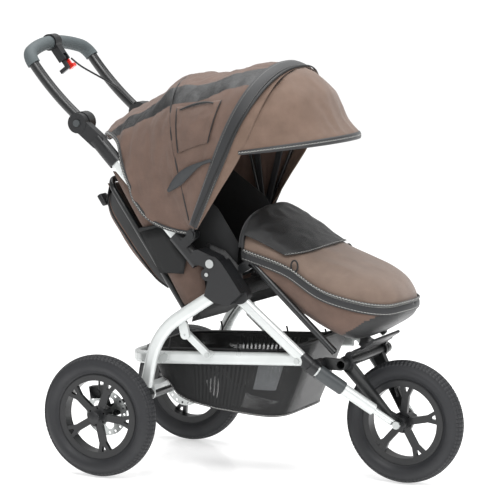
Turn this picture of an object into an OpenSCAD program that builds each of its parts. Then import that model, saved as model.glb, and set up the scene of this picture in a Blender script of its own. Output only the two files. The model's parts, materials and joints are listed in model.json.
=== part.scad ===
// Three-wheeled jogging pushchair with a folding canopy, a reclining seat,
// a padded leg cover, a hanging basket and a pivoting push handle.
// X points forwards, Y to the passenger's left and Z up. The origin is on the
// ground, below the middle of the whole pushchair.

/* [Wheels] */
// Outside diameter of the air tyres
wheel_d = 315; // [300:1:330]
// Width of the air tyres
tyre_w = 57; // [48:1:58]
// Diameter over the edge of the wheel rims
rim_d = 218; // [200:1:226]
// Distance between the front and the rear axle
wheelbase = 730; // [715:1:745]
// Distance between the middles of the rear tyres
track = 522; // [520:1:540]
// Place of the rear axle behind the origin
rear_axle_back = 295; // [290:1:300]
// Number of spokes in each wheel
spoke_count = 5; // [4:1:6]

/* [Frame] */
// Height of the oval frame tubes
tube_h = 31; // [28:1:33]
// Thickness of the oval frame tubes
tube_t = 20; // [18:1:20]
// Wall of every metal tube
tube_wall = 1.6; // [1.2:0.1:2.5]
// Distance from the middle to the front tubes
tube_y = 182; // [181:1:184]
// Distance from the middle to the rear legs
leg_y = 211; // [210:1:212]
// Distance from the middle to the lower bar's sides
bar_y = 161; // [159:1:162]
// Height of the lower bar's section
bar_h = 33; // [28:1:35]
// Thickness of the lower bar's section
bar_t = 17; // [14:1:18]

/* [Handle] */
// Diameter of the handle arms
arm_d = 27; // [24:1:28]
// Diameter of the foam grip
grip_d = 35; // [33:1:38]
// Half of the width between the handle arms
arm_y = 157; // [154:1:158]

/* [Seat] */
// Width of the backrest
back_w = 310; // [290:2:312]
// Thickness of the backrest's padding
back_t = 30; // [24:1:34]
// Width of the leg cover
cover_w = 334; // [320:2:336]

/* [Canopy] */
// Diameter of the canopy hoops
hoop_d = 8; // [6:1:9]
// Distance from the canopy pivots to the top of the front hoop
hoop_reach = 446; // [440:1:450]
// Thickness of the canopy cloth and its lining
cloth_t = 2.4; // [2:0.1:2.6]

/* [Hidden] */
$fn = 96;
GAP = 0.3;
FIT = 0.05;
WELD = 0.02;
silver = "#c9cdcc";
black = "#26282a";
charcoal = "#3a3d40";
brown = "#84726a";
rubber = "#2d2e31";

// ---------- places shared by several pieces ----------
wheel_r = wheel_d / 2;
rear_x = -rear_axle_back;
front_x = rear_x + wheelbase;
axle_z = wheel_r;
wheel_y = track / 2;
axle_r = 6;

// Front tube: from the side hinge down to the fork socket
front_top = [14, 509.5];
front_end = [250, 318];
// Upper tube: from the side hinge up to the handle
upper_low = [-55, 554];
upper_end = [-336, 849];
fold_pivot = [-1, 560];
// Rear leg: a straight run, a bend and a straight foot
leg_top = [22, 491.6];
leg_bend = [-94, 416];
leg_turn = 44.4;
leg_bend_r = 183;
leg_foot_len = 70;
leg_h = 33;
// Lower bar, hinged to the front tubes
bar_front = [222, 325];
bar_back_x = -260;
bar_tilt = 3.4;
bar_corner_r = 55;
// Rear suspension
torsion = [-184, 212];
torsion_r = 10;
pin_r = 8;
// Handle
handle_pivot = [-392, 893];
boss_r = 28;
arm_curve_r = 780;
arm_start_angle = 37.5;
arm_turn = 15;
corner_r = 38;
corner_turn = 72;
// Canopy
canopy_pivot = [-55, 630];
front_hoop_angle = 67.3;
middle_hoop_angle = 104;
rear_edge_angle = 134;
back_edge_angle = 148;
middle_front_angle = 84;
visor_low_angle = 8;
// Backrest
back_pivot = [-98, 428];
back_angle = 124.5;
back_len = 400;

// ---------- small helpers ----------
// Angles and directions in the XZ plane
function dir(a) = [cos(a), sin(a)];
function heading(p, q) = atan2(q[1] - p[1], q[0] - p[0]);
function dist(p, q) = norm(q - p);
function along(p, q, s) = p + (q - p) * s / dist(p, q);

// A piece of the left side, or its mirror image on the right
module on_side(side) {
    mirror([0, side < 0 ? 1 : 0, 0]) children();
}

module both_sides() {
    on_side(1) children();
    on_side(-1) children();
}

// Section with two round ends, long in X
module oval(h, t) {
    square([h - t, t], center = true);
    translate([(h - t) / 2, 0]) circle(d = t);
    translate([-(h - t) / 2, 0]) circle(d = t);
}

module oval_tube(h, t) {
    difference() {
        oval(h, t);
        oval(h - 2 * tube_wall, t - 2 * tube_wall);
    }
}

// Stand a flat XZ outline up between two Y values
module wall(y0, y1) {
    translate([0, y1, 0]) rotate([90, 0, 0]) linear_extrude(y1 - y0) children();
}

// Run a section along a straight line in the plane Y = y
module run(p, q, y) {
    translate([p[0], y, p[1]]) rotate([0, -heading(p, q), 0]) rotate([0, 90, 0])
        linear_extrude(dist(p, q)) children();
}

// Cylinder along Y from y0 to y1
module pin(p, r, y0, y1) {
    translate([p[0], y1, p[1]]) rotate([90, 0, 0]) cylinder(r = r, h = y1 - y0);
}

// Round rod between two points in space
module rod(a, b, r1, r2 = -1) {
    v = b - a;
    translate(a) rotate([0, acos(v[2] / norm(v)), atan2(v[1], v[0])])
        cylinder(r1 = r1, r2 = r2 < 0 ? r1 : r2, h = norm(v));
}

// Flat link with round ends; its straight sides lie a hair inside the circles
module link(p, q, r) {
    side = 0.996 * r;
    translate(p) circle(r = r);
    translate(q) circle(r = r);
    translate(p) rotate(heading(p, q)) translate([0, -side]) square([dist(p, q), 2 * side]);
}

// ---------- frame ----------
module bar_place() {
    translate([bar_front[0], 0, bar_front[1]]) rotate([0, -bar_tilt, 0]) children();
}

module lower_frame_bar() {
    straight = bar_front[0] - bar_back_x - bar_corner_r;
    inside = bar_y - bar_corner_r;
    color(silver) bar_place() {
        both_sides() {
            translate([0, bar_y, 0]) rotate([0, -90, 0])
                linear_extrude(straight) oval_tube(bar_h, bar_t);
            translate([-straight, inside, 0]) rotate([0, 0, 90])
                rotate_extrude(angle = 90) translate([bar_corner_r, 0]) rotate(90)
                    oval_tube(bar_h, bar_t);
        }
        translate([-straight - bar_corner_r, inside, 0]) rotate([90, 0, 0])
            linear_extrude(2 * inside) rotate(90) oval_tube(bar_h, bar_t);
        both_sides() translate([0, bar_y, 0]) rotate([0, -90, 0])
            linear_extrude(2) oval(bar_h - tube_wall, bar_t - tube_wall);
    }
}

module front_tube(side) {
    color(silver) on_side(side) difference() {
        run(front_top, front_end, tube_y) oval_tube(tube_h, tube_t);
        pin(bar_front, 3.1, tube_y - tube_t, tube_y + tube_t);
    }
}

// Bent oval tube of the rear leg
module leg_path() {
    heading_out = heading(leg_top, leg_bend);
    centre = leg_bend + leg_bend_r * dir(heading_out + 90);
    foot_start = centre + leg_bend_r * dir(heading_out - 90 + leg_turn);
    foot_end = foot_start + leg_foot_len * dir(heading_out + leg_turn);
    // the three lengths of tube butt together at the welds
    run(leg_top, along(leg_bend, leg_top, WELD), leg_y) oval_tube(leg_h, tube_t);
    translate([centre[0], leg_y, centre[1]]) rotate([90, 0, 0]) rotate(heading_out - 90)
        rotate_extrude(angle = leg_turn) translate([leg_bend_r, 0]) oval_tube(leg_h, tube_t);
    run(along(foot_start, foot_end, WELD), foot_end, leg_y) oval_tube(leg_h, tube_t);
}

ear = [-84, 371];
strut_end = [-26, 322];

module rear_leg(side) {
    color(silver) on_side(side) {
        leg_path();
        // ear for the brace strut
        wall(leg_y - 19.5, leg_y - tube_t / 2 - 0.1) difference() {
            link(ear, ear + [-6, 26], 12);
            translate(ear) circle(r = 3.1);
        }
    }
}

module brace_struts() {
    color(silver) both_sides() difference() {
        union() {
            wall(leg_y - 31, leg_y - 20) link(ear, strut_end, 9);
            pin(strut_end, 9, bar_y + bar_t / 2 + 0.5, leg_y - 20);
        }
        pin(ear, 3.1, 0, 300);
        pin(strut_end, 3.1, 0, 300);
    }
}

// Outer cover of the side hinge with the pockets for the leg and the tube
module hinge_bracket(side) {
    lower = [[-18, 478], [8, 462], [50, 458], [84, 490], [48, 540], [28, 566]];
    color(black) on_side(side) difference() {
        union() {
            wall(tube_y - 13, leg_y + 14) difference() {
                union() {
                    polygon(concat(lower, [[10, 580]]));
                    translate([-1, 560]) circle(r = 20);
                    translate([-10, 532]) circle(r = 16);
                }
                translate([-1, 560]) circle(r = pin_r + 1);
            }
            wall(tube_y - 13, tube_y + 16) link([50, 502], [66, 480], 22);
        }
        // room for the upper knuckle
        wall(tube_y - 16, leg_y + 7.5) union() {
            translate(fold_pivot) circle(r = 26.5);
            polygon([[-90, 640], [-90, 520], [-24, 470], [-14, 512], [6, 532], [40, 600]]);
        }
        run(along(front_top, front_end, -1.4), front_end, tube_y) oval(tube_h + 0.2, tube_t + 0.2);
        run(leg_top, leg_bend, leg_y) oval(leg_h + 0.2, tube_t + 0.2);
        pin(fold_pivot, pin_r, 0, 300);
    }
}

module rear_crossbar() {
    color(silver) difference() {
        union() {
            translate([torsion[0] - 19, -leg_y + tube_t / 2, torsion[1] + torsion_r + 1])
                cube([34, 2 * leg_y - tube_t, 13]);
            both_sides() wall(leg_y - 17, leg_y - tube_t / 2 - 0.5)
                link(torsion, torsion + [-2, 12], 15);
        }
        pin(torsion, torsion_r + 0.05, -300, 300);
    }
}

module torsion_tube() {
    color(black) {
        pin(torsion, torsion_r, -leg_y + tube_t / 2 + 0.5, leg_y - tube_t / 2 - 0.5);
        both_sides() difference() {
            pin(torsion, pin_r, leg_y - tube_t / 2 - 1, leg_y + 11);
            pin(torsion, 3, leg_y + 2, leg_y + 12);
        }
    }
}

// ---------- front fork ----------
fork_top = [263, 178, 307.5];
fork_low = [front_x, 58, axle_z];
function fork_at(s) = fork_top + (fork_low - fork_top) * s / norm(fork_low - fork_top);
sleeve_len = 78;
fork_tube_len = 186;
sleeve_r = 18;
fork_tube_r = 15;

module fork_sockets() {
    color(black) both_sides() difference() {
        union() {
            run(along(front_end, front_top, 24), along(front_end, front_top, -14), tube_y)
                oval(tube_h + 7, tube_t + 7);
            rod(fork_at(-16), fork_at(6), 17, 19);
            translate([268, 0, 0]) pin([0, 316], 15, 150, 176);
        }
        run(front_top, front_end, tube_y) oval(tube_h + 0.2, tube_t + 0.2);
        rod(fork_at(0), fork_at(40), fork_tube_r + 0.1);
        rod(fork_at(11.5), fork_at(60), sleeve_r + 1.5);
        pin(bar_front, 16, 0, 400);
        wall(0, bar_y + bar_t / 2 + 1) translate(bar_front) square([90, 36], center = true);
    }
}

module fork_sleeves() {
    color(charcoal) both_sides() difference() {
        rod(fork_at(12), fork_at(12 + sleeve_len), sleeve_r + 1, sleeve_r);
        rod(fork_at(0), fork_at(fork_tube_len), fork_tube_r + 0.1);
    }
}

module fork_tubes() {
    color(silver) both_sides() {
        difference() {
            rod(fork_at(0.5), fork_at(fork_tube_len), fork_tube_r);
            rod(fork_at(-1), fork_at(fork_tube_len - 3), fork_tube_r - tube_wall);
        }
        difference() {
            rod(fork_at(fork_tube_len), fork_at(norm(fork_low - fork_top) - 4), 8.5);
            pin([front_x, axle_z], axle_r + 6.2, 0, 100);
            wall(0, 56) translate([front_x, axle_z]) circle(r = 60);
        }
    }
}

module fork_arms() {
    top = [322, 95, 305];
    color(black) both_sides() difference() {
        union() {
            hull() {
                translate(top) rotate([90, 0, 0]) cylinder(r = 15, h = 18, center = true, $fn = 32);
                translate([front_x - 24, 49, axle_z + 22]) rotate([90, 0, 0])
                    cylinder(r = 11, h = 12, center = true, $fn = 32);
            }
            pin([front_x, axle_z], 13, 43, 55);
            wall(43, 55) link([front_x, axle_z], [front_x - 24, axle_z + 22], 11);
        }
        pin([front_x, axle_z], axle_r + 0.1, 0, 100);
        pin([322, 316], 12.7, 60, 130);
        both_sides() rod(fork_at(0), fork_at(400), fork_tube_r + 0.3);
    }
}

module front_axle() {
    color(silver) {
        pin([front_x, axle_z], axle_r, -60, 60);
        both_sides() pin([front_x, axle_z], 10, 55.2, 62);
    }
}

module footrest_crossbar() {
    color(black) difference() {
        pin([322, 316], 12.5, -148, 148);
        pin([322, 316], 10.5, -149, 149);
    }
    color(black) both_sides() {
        difference() {
            wall(132, 149) link([322, 316], [276, 316], 14);
            pin([322, 316], 12.5, 100, 160);
        }
    }
}

// ---------- footrest and seat ----------
foot_heel = [330, 337];
foot_toe = [380, 370];

// Foot plate with two rings that turn on the crossbar
module footrest_board() {
    color(black) difference() {
        union() {
            wall(-118, 118) link(foot_heel, along(foot_heel, foot_toe, 20), 4);
            wall(-86, 86) link(along(foot_heel, foot_toe, 10), foot_toe, 3.9);
            both_sides() {
                pin([322, 316], 18, 107, 118);
                wall(107, 118) link([322, 322], foot_heel, 8);
            }
        }
        pin([322, 316], 12.5 + FIT, -200, 200);
    }
}

seat_side = [[-84, 398], [16, 430], [56, 458], [30, 560], [-40, 600], [-64, 470]];
back_side = [[-312, 778], [-262, 700], [-102, 446], [-30, 470], [-60, 540], [-150, 640], [-255, 770]];
pocket_side = [[-222, 622], [-168, 520], [-100, 528], [-154, 640]];

module seat_hammock() {
    color(black) {
        wall(-150, 150) polygon([[-84, 402], [16, 434], [56, 462], [56, 520], [44, 532],
                                 [-14, 492], [-60, 462]]);
        // buckle tongue between the legs
        translate([8, -18, 516]) cube([12, 36, 30]);
        both_sides() wall(161.3, 166) polygon(pocket_side);
    }
    color(brown) both_sides() {
        wall(151, 157) polygon(seat_side);
        wall(158.5, 161) polygon(back_side);
    }
}

rail_top = [84, 560];
rail_end = [312, 349];

module seat_rails() {
    color(black) both_sides() {
        run(rail_top, rail_end, 160) difference() {
            circle(r = 9);
            circle(r = 7.4);
        }
        wall(151.5, 168.5) difference() {
            link(rail_top, [62, 546], 12);
            translate(rail_top) rotate(heading(rail_top, rail_end))
                translate([-1, -9.1]) square([60, 18.2]);
        }
    }
}

// The leg cover: an arched bag with a round front, open towards the seat
cover_front_x = 287;
cover_slope = 22;
arch_r = 200;
arch_top = [205, 606];

module cover_shape(inset) {
    half = cover_w / 2 - inset;
    intersection() {
        wall(-half, half) offset(delta = -inset)
            polygon([[50, 700], [330, 700], [400, 524], [438, 494], [454, 464], [446, 432],
                     [405, 399], [350, 368], [300, 374], [226, 408], [130, 472], [91, 526],
                     [50, 560]]);
        linear_extrude(700) {
            translate([0, -half]) square([cover_front_x, 2 * half]);
            translate([cover_front_x, 0]) circle(r = half);
        }
        translate([arch_top[0], 0, arch_top[1]]) rotate([0, 90 + cover_slope, 0])
            translate([arch_r, 0, -400]) cylinder(r = arch_r - inset, h = 800);
    }
}

module leg_cover() {
    color(brown) difference() {
        cover_shape(0);
        cover_shape(9);
        translate([0, -200, 450]) cube([61, 400, 260]);
        // room for the seat rails
        both_sides() {
            run(rail_top - [24, -22], rail_end + [18, -17], 160) circle(r = 10);
            wall(150, 170) link(rail_top, [56, 541], 12.8);
        }
    }
}

// ---------- basket ----------
module basket_shape(inset, top) {
    half = bar_y - bar_t / 2 - 2 - inset;
    intersection() {
        wall(-half, half)
            polygon([[-240 + inset, 338 + top], [-234 + inset, 262], [-214 + inset, 239 + inset],
                     [-164 + inset, 239 + inset], [-158 + inset, 196 + inset], [-120, 186 + inset], [30, 171 + inset], [150 - inset, 168 + inset],
                     [208 - inset, 230], [240 - inset, 300], [236 - inset, 330 + top],
                     [205 - inset, 364 + top]]);
        translate([0, 0, 100]) linear_extrude(400) hull() {
            translate([180, 0]) square([140, 2 * half], center = true);
            both_sides() translate([-242 + inset + 46, half - 46]) circle(r = 46, $fn = 32);
        }
    }
}

module basket() {
    color(black) difference() {
        basket_shape(0, 0);
        basket_shape(4, 10);
    }
}

// ---------- fasteners, brake cables ----------
module frame_fasteners() {
    color("#b9bdbe") both_sides() {
        // rivet of the lower bar
        pin(bar_front, 3, bar_y + bar_t / 2 + 0.2, tube_y + tube_t / 2 + 2);
        pin(bar_front, 7, tube_y + tube_t / 2 + 0.2, tube_y + tube_t / 2 + 3);
        // rivets of the brace strut
        pin(ear, 3, leg_y - 34, leg_y - 12);
        pin(ear, 6.5, leg_y - 34, leg_y - 31.2);
        pin(strut_end, 3, bar_y + bar_t / 2 + 0.7, leg_y - 18);
        pin(strut_end, 6.5, leg_y - 19.8, leg_y - 17);
        // bolt of the side hinge
        pin(fold_pivot, pin_r - FIT, tube_y - 12.8, leg_y + 14);
        pin(fold_pivot, 11, leg_y + 14.2, leg_y + 18);
        pin([-10, 532], 5, leg_y + 14.2, leg_y + 17);
        // end caps of the swing arms
        pin(torsion, 2.9, leg_y + 3, leg_y + 12);
        pin(torsion, 12, leg_y + 11.2, leg_y + 14);
    }
}

// Cable swept along a list of points with a ring of eight corners at each point
function smooth(p, n) = [for (i = [0:len(p) - 2], t = [0:n - 1])
    let (a = p[max(i - 1, 0)], b = p[i], c = p[i + 1], d = p[min(i + 2, len(p) - 1)], u = t / n)
    0.5 * ((2 * b) + (c - a) * u + (2 * a - 5 * b + 4 * c - d) * u * u
        + (3 * b - a - 3 * c + d) * u * u * u)];

module cable(route, r) {
    sides = 8;
    path = concat(smooth(route, 5), [route[len(route) - 1]]);
    count = len(path);
    function forward(i) = let (v = path[min(i + 1, count - 1)] - path[max(i - 1, 0)]) v / norm(v);
    function across(i) = let (v = cross(forward(i), [0.13, 1, 0.21])) v / norm(v);
    points = [for (i = [0:count - 1], k = [0:sides - 1])
        let (u = across(i), w = cross(forward(i), u))
        path[i] + r * (u * cos(k * 360 / sides) + w * sin(k * 360 / sides))];
    walls = [for (i = [0:count - 2], k = [0:sides - 1])
        [i * sides + k, i * sides + (k + 1) % sides, (i + 1) * sides + (k + 1) % sides,
         (i + 1) * sides + k]];
    ends = [[for (k = [sides - 1:-1:0]) k], [for (k = [0:sides - 1]) (count - 1) * sides + k]];
    polyhedron(points = points, faces = concat(walls, ends));
}

// From the left side hinge, under the seat, down the left leg to the calipers
lower_route = [[-30, 190, 462], [-60, 186, 440], [-110, 182, 400], [-150, 190, 352],
               [-178, 194, 300], [-190, 194, 262]];
// From the brake lever to the left handle arm and down along it
upper_route = [[-528, 26, 1040], [-505, 40, 1018], [-478, 84, 990], [-452, 124, 964],
               [-430, 136, 942], [-402, 138, 916]];

module brake_cable_lower() {
    color(black) cable(lower_route, 2.5);
}

module brake_cable_upper() {
    color(black) cable(upper_route, 2.5);
}

// ---------- rear suspension ----------
module swing_arm(side) {
    color(black) on_side(side) difference() {
        union() {
            wall(leg_y - 9, leg_y + 8) difference() {
                hull_link(torsion, [rear_x, axle_z], 15, 17);
                translate([(rear_x + torsion[0]) / 2, (axle_z + torsion[1]) / 2])
                    rotate(26) translate([-26, -5]) square([52, 10]);
            }
            // caliper mount
            wall(leg_y - 5, leg_y + 3) link([rear_x, axle_z], [rear_x - 20, axle_z + 52], 10);
        }
        pin(torsion, pin_r + FIT, 0, 300);
        pin([rear_x, axle_z], axle_r + 0.02, 0, 300);
    }
}

// Flat link with two round ends of different radius
module hull_link(p, q, r1, r2) {
    hull() {
        translate(p) circle(r = r1, $fn = 48);
        translate(q) circle(r = r2, $fn = 48);
    }
}

module rear_axle() {
    color(silver) pin([rear_x, axle_z], axle_r, -292, 292);
}

disc_y = 224;
disc_r = 58;

module brake_calipers() {
    color(black) both_sides() difference() {
        union() {
            translate([rear_x - 22, 0, axle_z + 54]) rotate([0, -8, 0])
                translate([-21, disc_y - 9.5, -16]) cube([42, 22, 32]);
            pin([rear_x - 24, axle_z + 50], 12, disc_y + 12, disc_y + 15);
        }
        pin([rear_x, axle_z], disc_r + 2, disc_y - 0.8, disc_y + 2.8);
        pin([rear_x, axle_z], 22, 0, 300);
    }
}

// ---------- wheels ----------
tyre_r = tyre_w / 2;
bead_r = rim_d / 2 - 3;

module tyre() {
    color(rubber) rotate([90, 0, 0]) rotate_extrude() difference() {
        union() {
            translate([wheel_r - tyre_r, 0]) circle(r = tyre_r);
            translate([bead_r, -13]) square([20, 26]);
        }
        translate([wheel_r - tyre_r, 0]) circle(r = tyre_r - 4.5);
        translate([bead_r - 10, -8]) square([30, 16]);
        translate([bead_r - 60, -50]) square([60, 100]);
        // room for the flanges of the rim
        for (m = [0, 1]) mirror([0, m]) translate([bead_r - 5, 13.2]) square([8.3, 8]);
        for (y = [-9, 9]) translate([wheel_r - 3, y - 1.2]) square([6, 2.4]);
    }
}

module wheel(phase, hub_in, hub_out, spoke_out) {
    color(black) rotate([90, 0, 0]) {
        difference() {
            union() {
                rotate_extrude() polygon([[rim_d / 2 - 3, -18], [rim_d / 2, -17], [rim_d / 2, -14.5],
                    [bead_r - 0.2, -13.5], [bead_r - 0.2, -9], [98, -6], [98, 6], [bead_r - 0.2, 9],
                    [bead_r - 0.2, 13.5], [rim_d / 2, 14.5], [rim_d / 2, 17], [rim_d / 2 - 3, 18],
                    [92, 17.5], [92, -17.5]]);
                translate([0, 0, -hub_in]) cylinder(r = 17, h = hub_in + hub_out);
                translate([0, 0, spoke_out - 12]) cylinder(r = 27, h = 12);
                for (i = [0:spoke_count - 1]) rotate(phase + i * 360 / spoke_count) {
                    translate([0, 0, spoke_out - 13]) linear_extrude(12)
                        polygon([[15, -9], [68, -9], [95, -19], [95, 19], [68, 9], [15, 9]]);
                }
            }
            translate([0, 0, -100]) cylinder(r = axle_r + FIT, h = 200);
            for (i = [0:5]) rotate(phase + 30 + i * 60) translate([22, 0, spoke_out - 6])
                cylinder(r = 2.4, h = 10);
            for (i = [0:spoke_count - 1]) rotate(phase + i * 360 / spoke_count)
                translate([0, 0, spoke_out - 20]) linear_extrude(30)
                    polygon([[78, -2.5], [91, -7], [91, 7], [78, 2.5]]);
        }
        // tyre valve
        rotate(phase + 36 + 60) translate([93, 0, 0]) rotate([0, -90, 0]) cylinder(r = 2.6, h = 28);
    }
}

module at_rear(side) {
    on_side(side) translate([rear_x, wheel_y, axle_z]) children();
}

module hub_cap() {
    color(charcoal) translate([0, 36.2, 0]) rotate([-90, 0, 0]) rotate_extrude() intersection() {
        translate([0, -22]) circle(r = 27);
        square([16, 5]);
    }
}

module rear_wheel(side) {
    phase = side < 0 ? -5 : 31;
    at_rear(side) mirror([0, 1, 0]) wheel(phase, 34.8, 18, 18);
}

module brake_disc(side) {
    color("#b4b6b3") on_side(side) translate([rear_x, disc_y + 2, axle_z]) rotate([90, 0, 0])
        difference() {
            cylinder(r = disc_r, h = 2);
            for (i = [0:4]) rotate(i * 72) translate([30, 0, -1]) cylinder(r = 12, h = 4);
            for (i = [0:17]) rotate(i * 20) translate([51, 0, -1]) cylinder(r = 3.2, h = 4);
            translate([0, 0, -1]) cylinder(r = axle_r + FIT, h = 4);
        }
}

// ---------- upper frame ----------
module upper_tubes() {
    color(silver) both_sides() run(upper_low, upper_end, tube_y) oval_tube(tube_h, tube_t);
}

module hinge_knuckles() {
    color(black) both_sides() difference() {
        union() {
            run(along(upper_low, upper_end, 92), along(upper_low, upper_end, -2), tube_y)
                oval(tube_h + 8, tube_t + 8);
            wall(tube_y - 13, leg_y + 7) link(fold_pivot, [-40, 574], 18);
            wall(tube_y - 13, tube_y + 13) link([-56, 566], [-40, 574], 18);
        }
        run(upper_low, upper_end, tube_y) oval(tube_h + 0.2, tube_t + 0.2);
        pin(fold_pivot, pin_r + FIT, 0, 300);
    }
}

module canopy_mounts() {
    color(black) both_sides() {
        wall(196.1, 200.3) link(canopy_pivot, canopy_pivot + [-30, -27], 12);
        pin(canopy_pivot, 5, 200, 225);
        pin(canopy_pivot, 9, 225, 228);
    }
}

module handle_sockets() {
    socket_low = along(upper_end, upper_low, 74);
    color(black) both_sides() difference() {
        union() {
            run(socket_low, along(upper_end, upper_low, -8), tube_y) oval(tube_h + 10, tube_t + 10);
            wall(tube_y - 12, tube_y + 12) link(handle_pivot, upper_end, 19);
            pin(handle_pivot, boss_r - 2, tube_y - 6, tube_y + 13);
        }
        run(upper_low, upper_end, tube_y) oval(tube_h + 0.2, tube_t + 0.2);
        pin(handle_pivot, boss_r + 0.6, 0, tube_y - 6);
        pin(handle_pivot, pin_r, 0, tube_y + 8);
        pin(handle_pivot, 9.3, tube_y + 8, tube_y + 20);
    }
}

// ---------- handle ----------
arm_centre = handle_pivot + arm_curve_r * dir(90 - arm_start_angle);
arm_top = arm_centre + arm_curve_r * dir(270 - arm_start_angle - arm_turn);
top_angle = arm_start_angle + arm_turn;
middle_r = (arm_y - corner_r * (1 - cos(corner_turn))) / cos(corner_turn);

// Place the plane of the handle's bow: local X across, local Y up the handle
module bow_place() {
    translate([arm_top[0], 0, arm_top[1]]) rotate([0, top_angle - 90, 0]) rotate([90, 0, 90])
        children();
}

// The bow of the handle: a tight corner on each side and a wide curve between
module bow() {
    bow_place() {
        for (m = [0, 1]) mirror([m, 0, 0]) translate([arm_y - corner_r, 0, 0])
            rotate_extrude(angle = corner_turn) translate([corner_r, 0]) children();
        translate([0, (corner_r - middle_r) * sin(corner_turn), 0]) rotate(corner_turn)
            rotate_extrude(angle = 180 - 2 * corner_turn) translate([middle_r, 0]) children();
    }
}

module handle_arms() {
    color(charcoal) both_sides() difference() {
        union() {
            translate([arm_centre[0], arm_y, arm_centre[1]]) rotate([90, 0, 0])
                rotate(270 - arm_start_angle - arm_turn)
                    rotate_extrude(angle = arm_turn) translate([arm_curve_r, 0]) circle(d = arm_d);
            pin(handle_pivot, boss_r, arm_y - 14, tube_y - 6.3);
            pin(handle_pivot, pin_r - FIT, tube_y - 7, tube_y + 7.8);
        }
        pin(handle_pivot, 11.2, arm_y - 15, arm_y - 2);
    }
}

module handle_bow() {
    color(charcoal) bow() circle(d = arm_d);
}

module handle_grip() {
    color("#4d5557") difference() {
        bow() circle(d = grip_d);
        bow() circle(d = arm_d + 0.2);
        // seat of the brake clamp
        clamp_block(0.2);
    }
}

bow_top = corner_r * sin(corner_turn) + middle_r * (1 - sin(corner_turn));

module clamp_block(grow) {
    bow_place() translate([-16 - grow, bow_top - 24 - grow, -22 - grow])
        cube([32 + 2 * grow, 48 + 2 * grow, 44 + 2 * grow]);
}

lever_pin_r = 2.5;

module brake_clamp() {
    color(black) bow_place() difference() {
        union() {
            translate([-16, bow_top, 0]) rotate([0, 90, 0]) cylinder(r = 22, h = 32);
            translate([-13, bow_top - 60, -9]) cube([26, 50, 22]);
        }
        translate([-20, bow_top, 0]) rotate([0, 90, 0]) cylinder(d = arm_d + 0.8, h = 40);
        translate([-8, bow_top - 62, -12]) cube([16, 18, 30]);
    }
    // pin of the lever and the lock
    color(silver) bow_place() translate([-13, bow_top - 52, 2]) rotate([0, 90, 0])
        cylinder(r = lever_pin_r, h = 33);
}

module brake_lever() {
    color(black) bow_place() difference() {
        union() {
            translate([-7.6, bow_top - 52, 2]) rotate([0, 90, 0]) cylinder(r = 7, h = 15.2);
            translate([-5, bow_top - 82, -6]) cube([10, 30, 9]);
            translate([-5, bow_top - 84, -26]) cube([10, 10, 28]);
        }
        translate([-20, bow_top - 52, 2]) rotate([0, 90, 0]) cylinder(r = lever_pin_r + FIT, h = 40);
    }
}

module parking_lock() {
    color("#d8322c") bow_place() difference() {
        union() {
            translate([13.4, bow_top - 52, 2]) rotate([0, 90, 0]) cylinder(r = 8, h = 6);
            translate([13.4, bow_top - 80, -3]) cube([6, 28, 9]);
            translate([13.4, bow_top - 84, -8]) cube([14, 9, 18]);
        }
        translate([0, bow_top - 52, 2]) rotate([0, 90, 0]) cylinder(r = lever_pin_r + FIT, h = 40);
    }
}

module angle_button(side) {
    color("#8d9294") on_side(side) pin(handle_pivot, 9, tube_y + 11.3, tube_y + 17);
}

// ---------- backrest ----------
module back_place() {
    translate([back_pivot[0], 0, back_pivot[1]]) rotate([0, -back_angle, 0]) children();
}

// Local X runs up the backrest and local Z points to the rear
module backrest_frame() {
    half = back_w / 2 - 8;
    color(black) back_place() {
        both_sides() translate([6, half, 9]) rotate([0, 90, 0]) difference() {
            cylinder(r = 8, h = back_len - 50);
            translate([0, 0, -1]) cylinder(r = 6.5, h = back_len);
        }
        both_sides() translate([back_len - 44, half - 36, 9]) rotate_extrude(angle = 90)
            translate([36, 0]) difference() {
                circle(r = 8);
                circle(r = 6.5);
            }
        translate([back_len - 8, half - 36, 9]) rotate([90, 0, 0]) difference() {
            cylinder(r = 8, h = 2 * half - 72);
            translate([0, 0, -1]) cylinder(r = 6.5, h = 2 * half);
        }
        // rod that the backrest turns on, with a lug by each side tube
        translate([0, half - 8.6, 0]) rotate([90, 0, 0]) cylinder(r = 5, h = 2 * half - 17.2);
        both_sides() translate([0, half - 8.6, 0]) rotate([90, 0, 0]) linear_extrude(5.4)
            link([0, 0], [18, 9], 6);
    }
}

module backrest_pad() {
    half = back_w / 2 - 10;
    color("#2c2d2f") back_place() translate([18, 0, 0.7 - back_t]) {
        translate([0, -half, 0]) cube([back_len - 64, 2 * half, back_t]);
        translate([back_len - 64, -half + 46, 0]) cube([46, 2 * half - 92, back_t]);
        both_sides() translate([back_len - 64, half - 46, 0]) cylinder(r = 46, h = back_t);
    }
}

module rear_pocket() {
    outside = [[86, 18], [88, 58], [110, 74], [190, 86], [300, 88], [344, 80], [352, 60], [352, 18]];
    hollow = [[92, 21], [94, 54], [114, 69], [190, 81], [300, 83], [340, 76], [360, 76], [360, 21]];
    color(brown) back_place() difference() {
        rotate([90, 0, 0]) linear_extrude(256, center = true) polygon(outside);
        rotate([90, 0, 0]) linear_extrude(246, center = true) polygon(hollow);
    }
}

module harness() {
    color("#1f2021") back_place() {
        both_sides() translate([120, 34, -back_t - 1.6]) cube([210, 38, 2]);
        translate([96, -22, -back_t - 5.6]) cube([44, 44, 6]);
    }
}

// ---------- canopy ----------
// The skins nest inside each other, so that they slide together as the canopy folds
rear_half = 203;
rear_crown = 167;
middle_half = rear_half + GAP + cloth_t;
middle_crown = 175;
middle_hoop_half = middle_half + hoop_d / 2 + 0.2;
front_half = middle_hoop_half + hoop_d / 2 + GAP + cloth_t;
front_hoop_half = front_half + hoop_d / 2 + 0.2;
front_crown = hoop_reach - front_hoop_half;
front_rear_drop = 36;
visor_r = front_half - cloth_t - GAP;
visor_pivot = canopy_pivot + front_crown * dir(front_hoop_angle);

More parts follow.
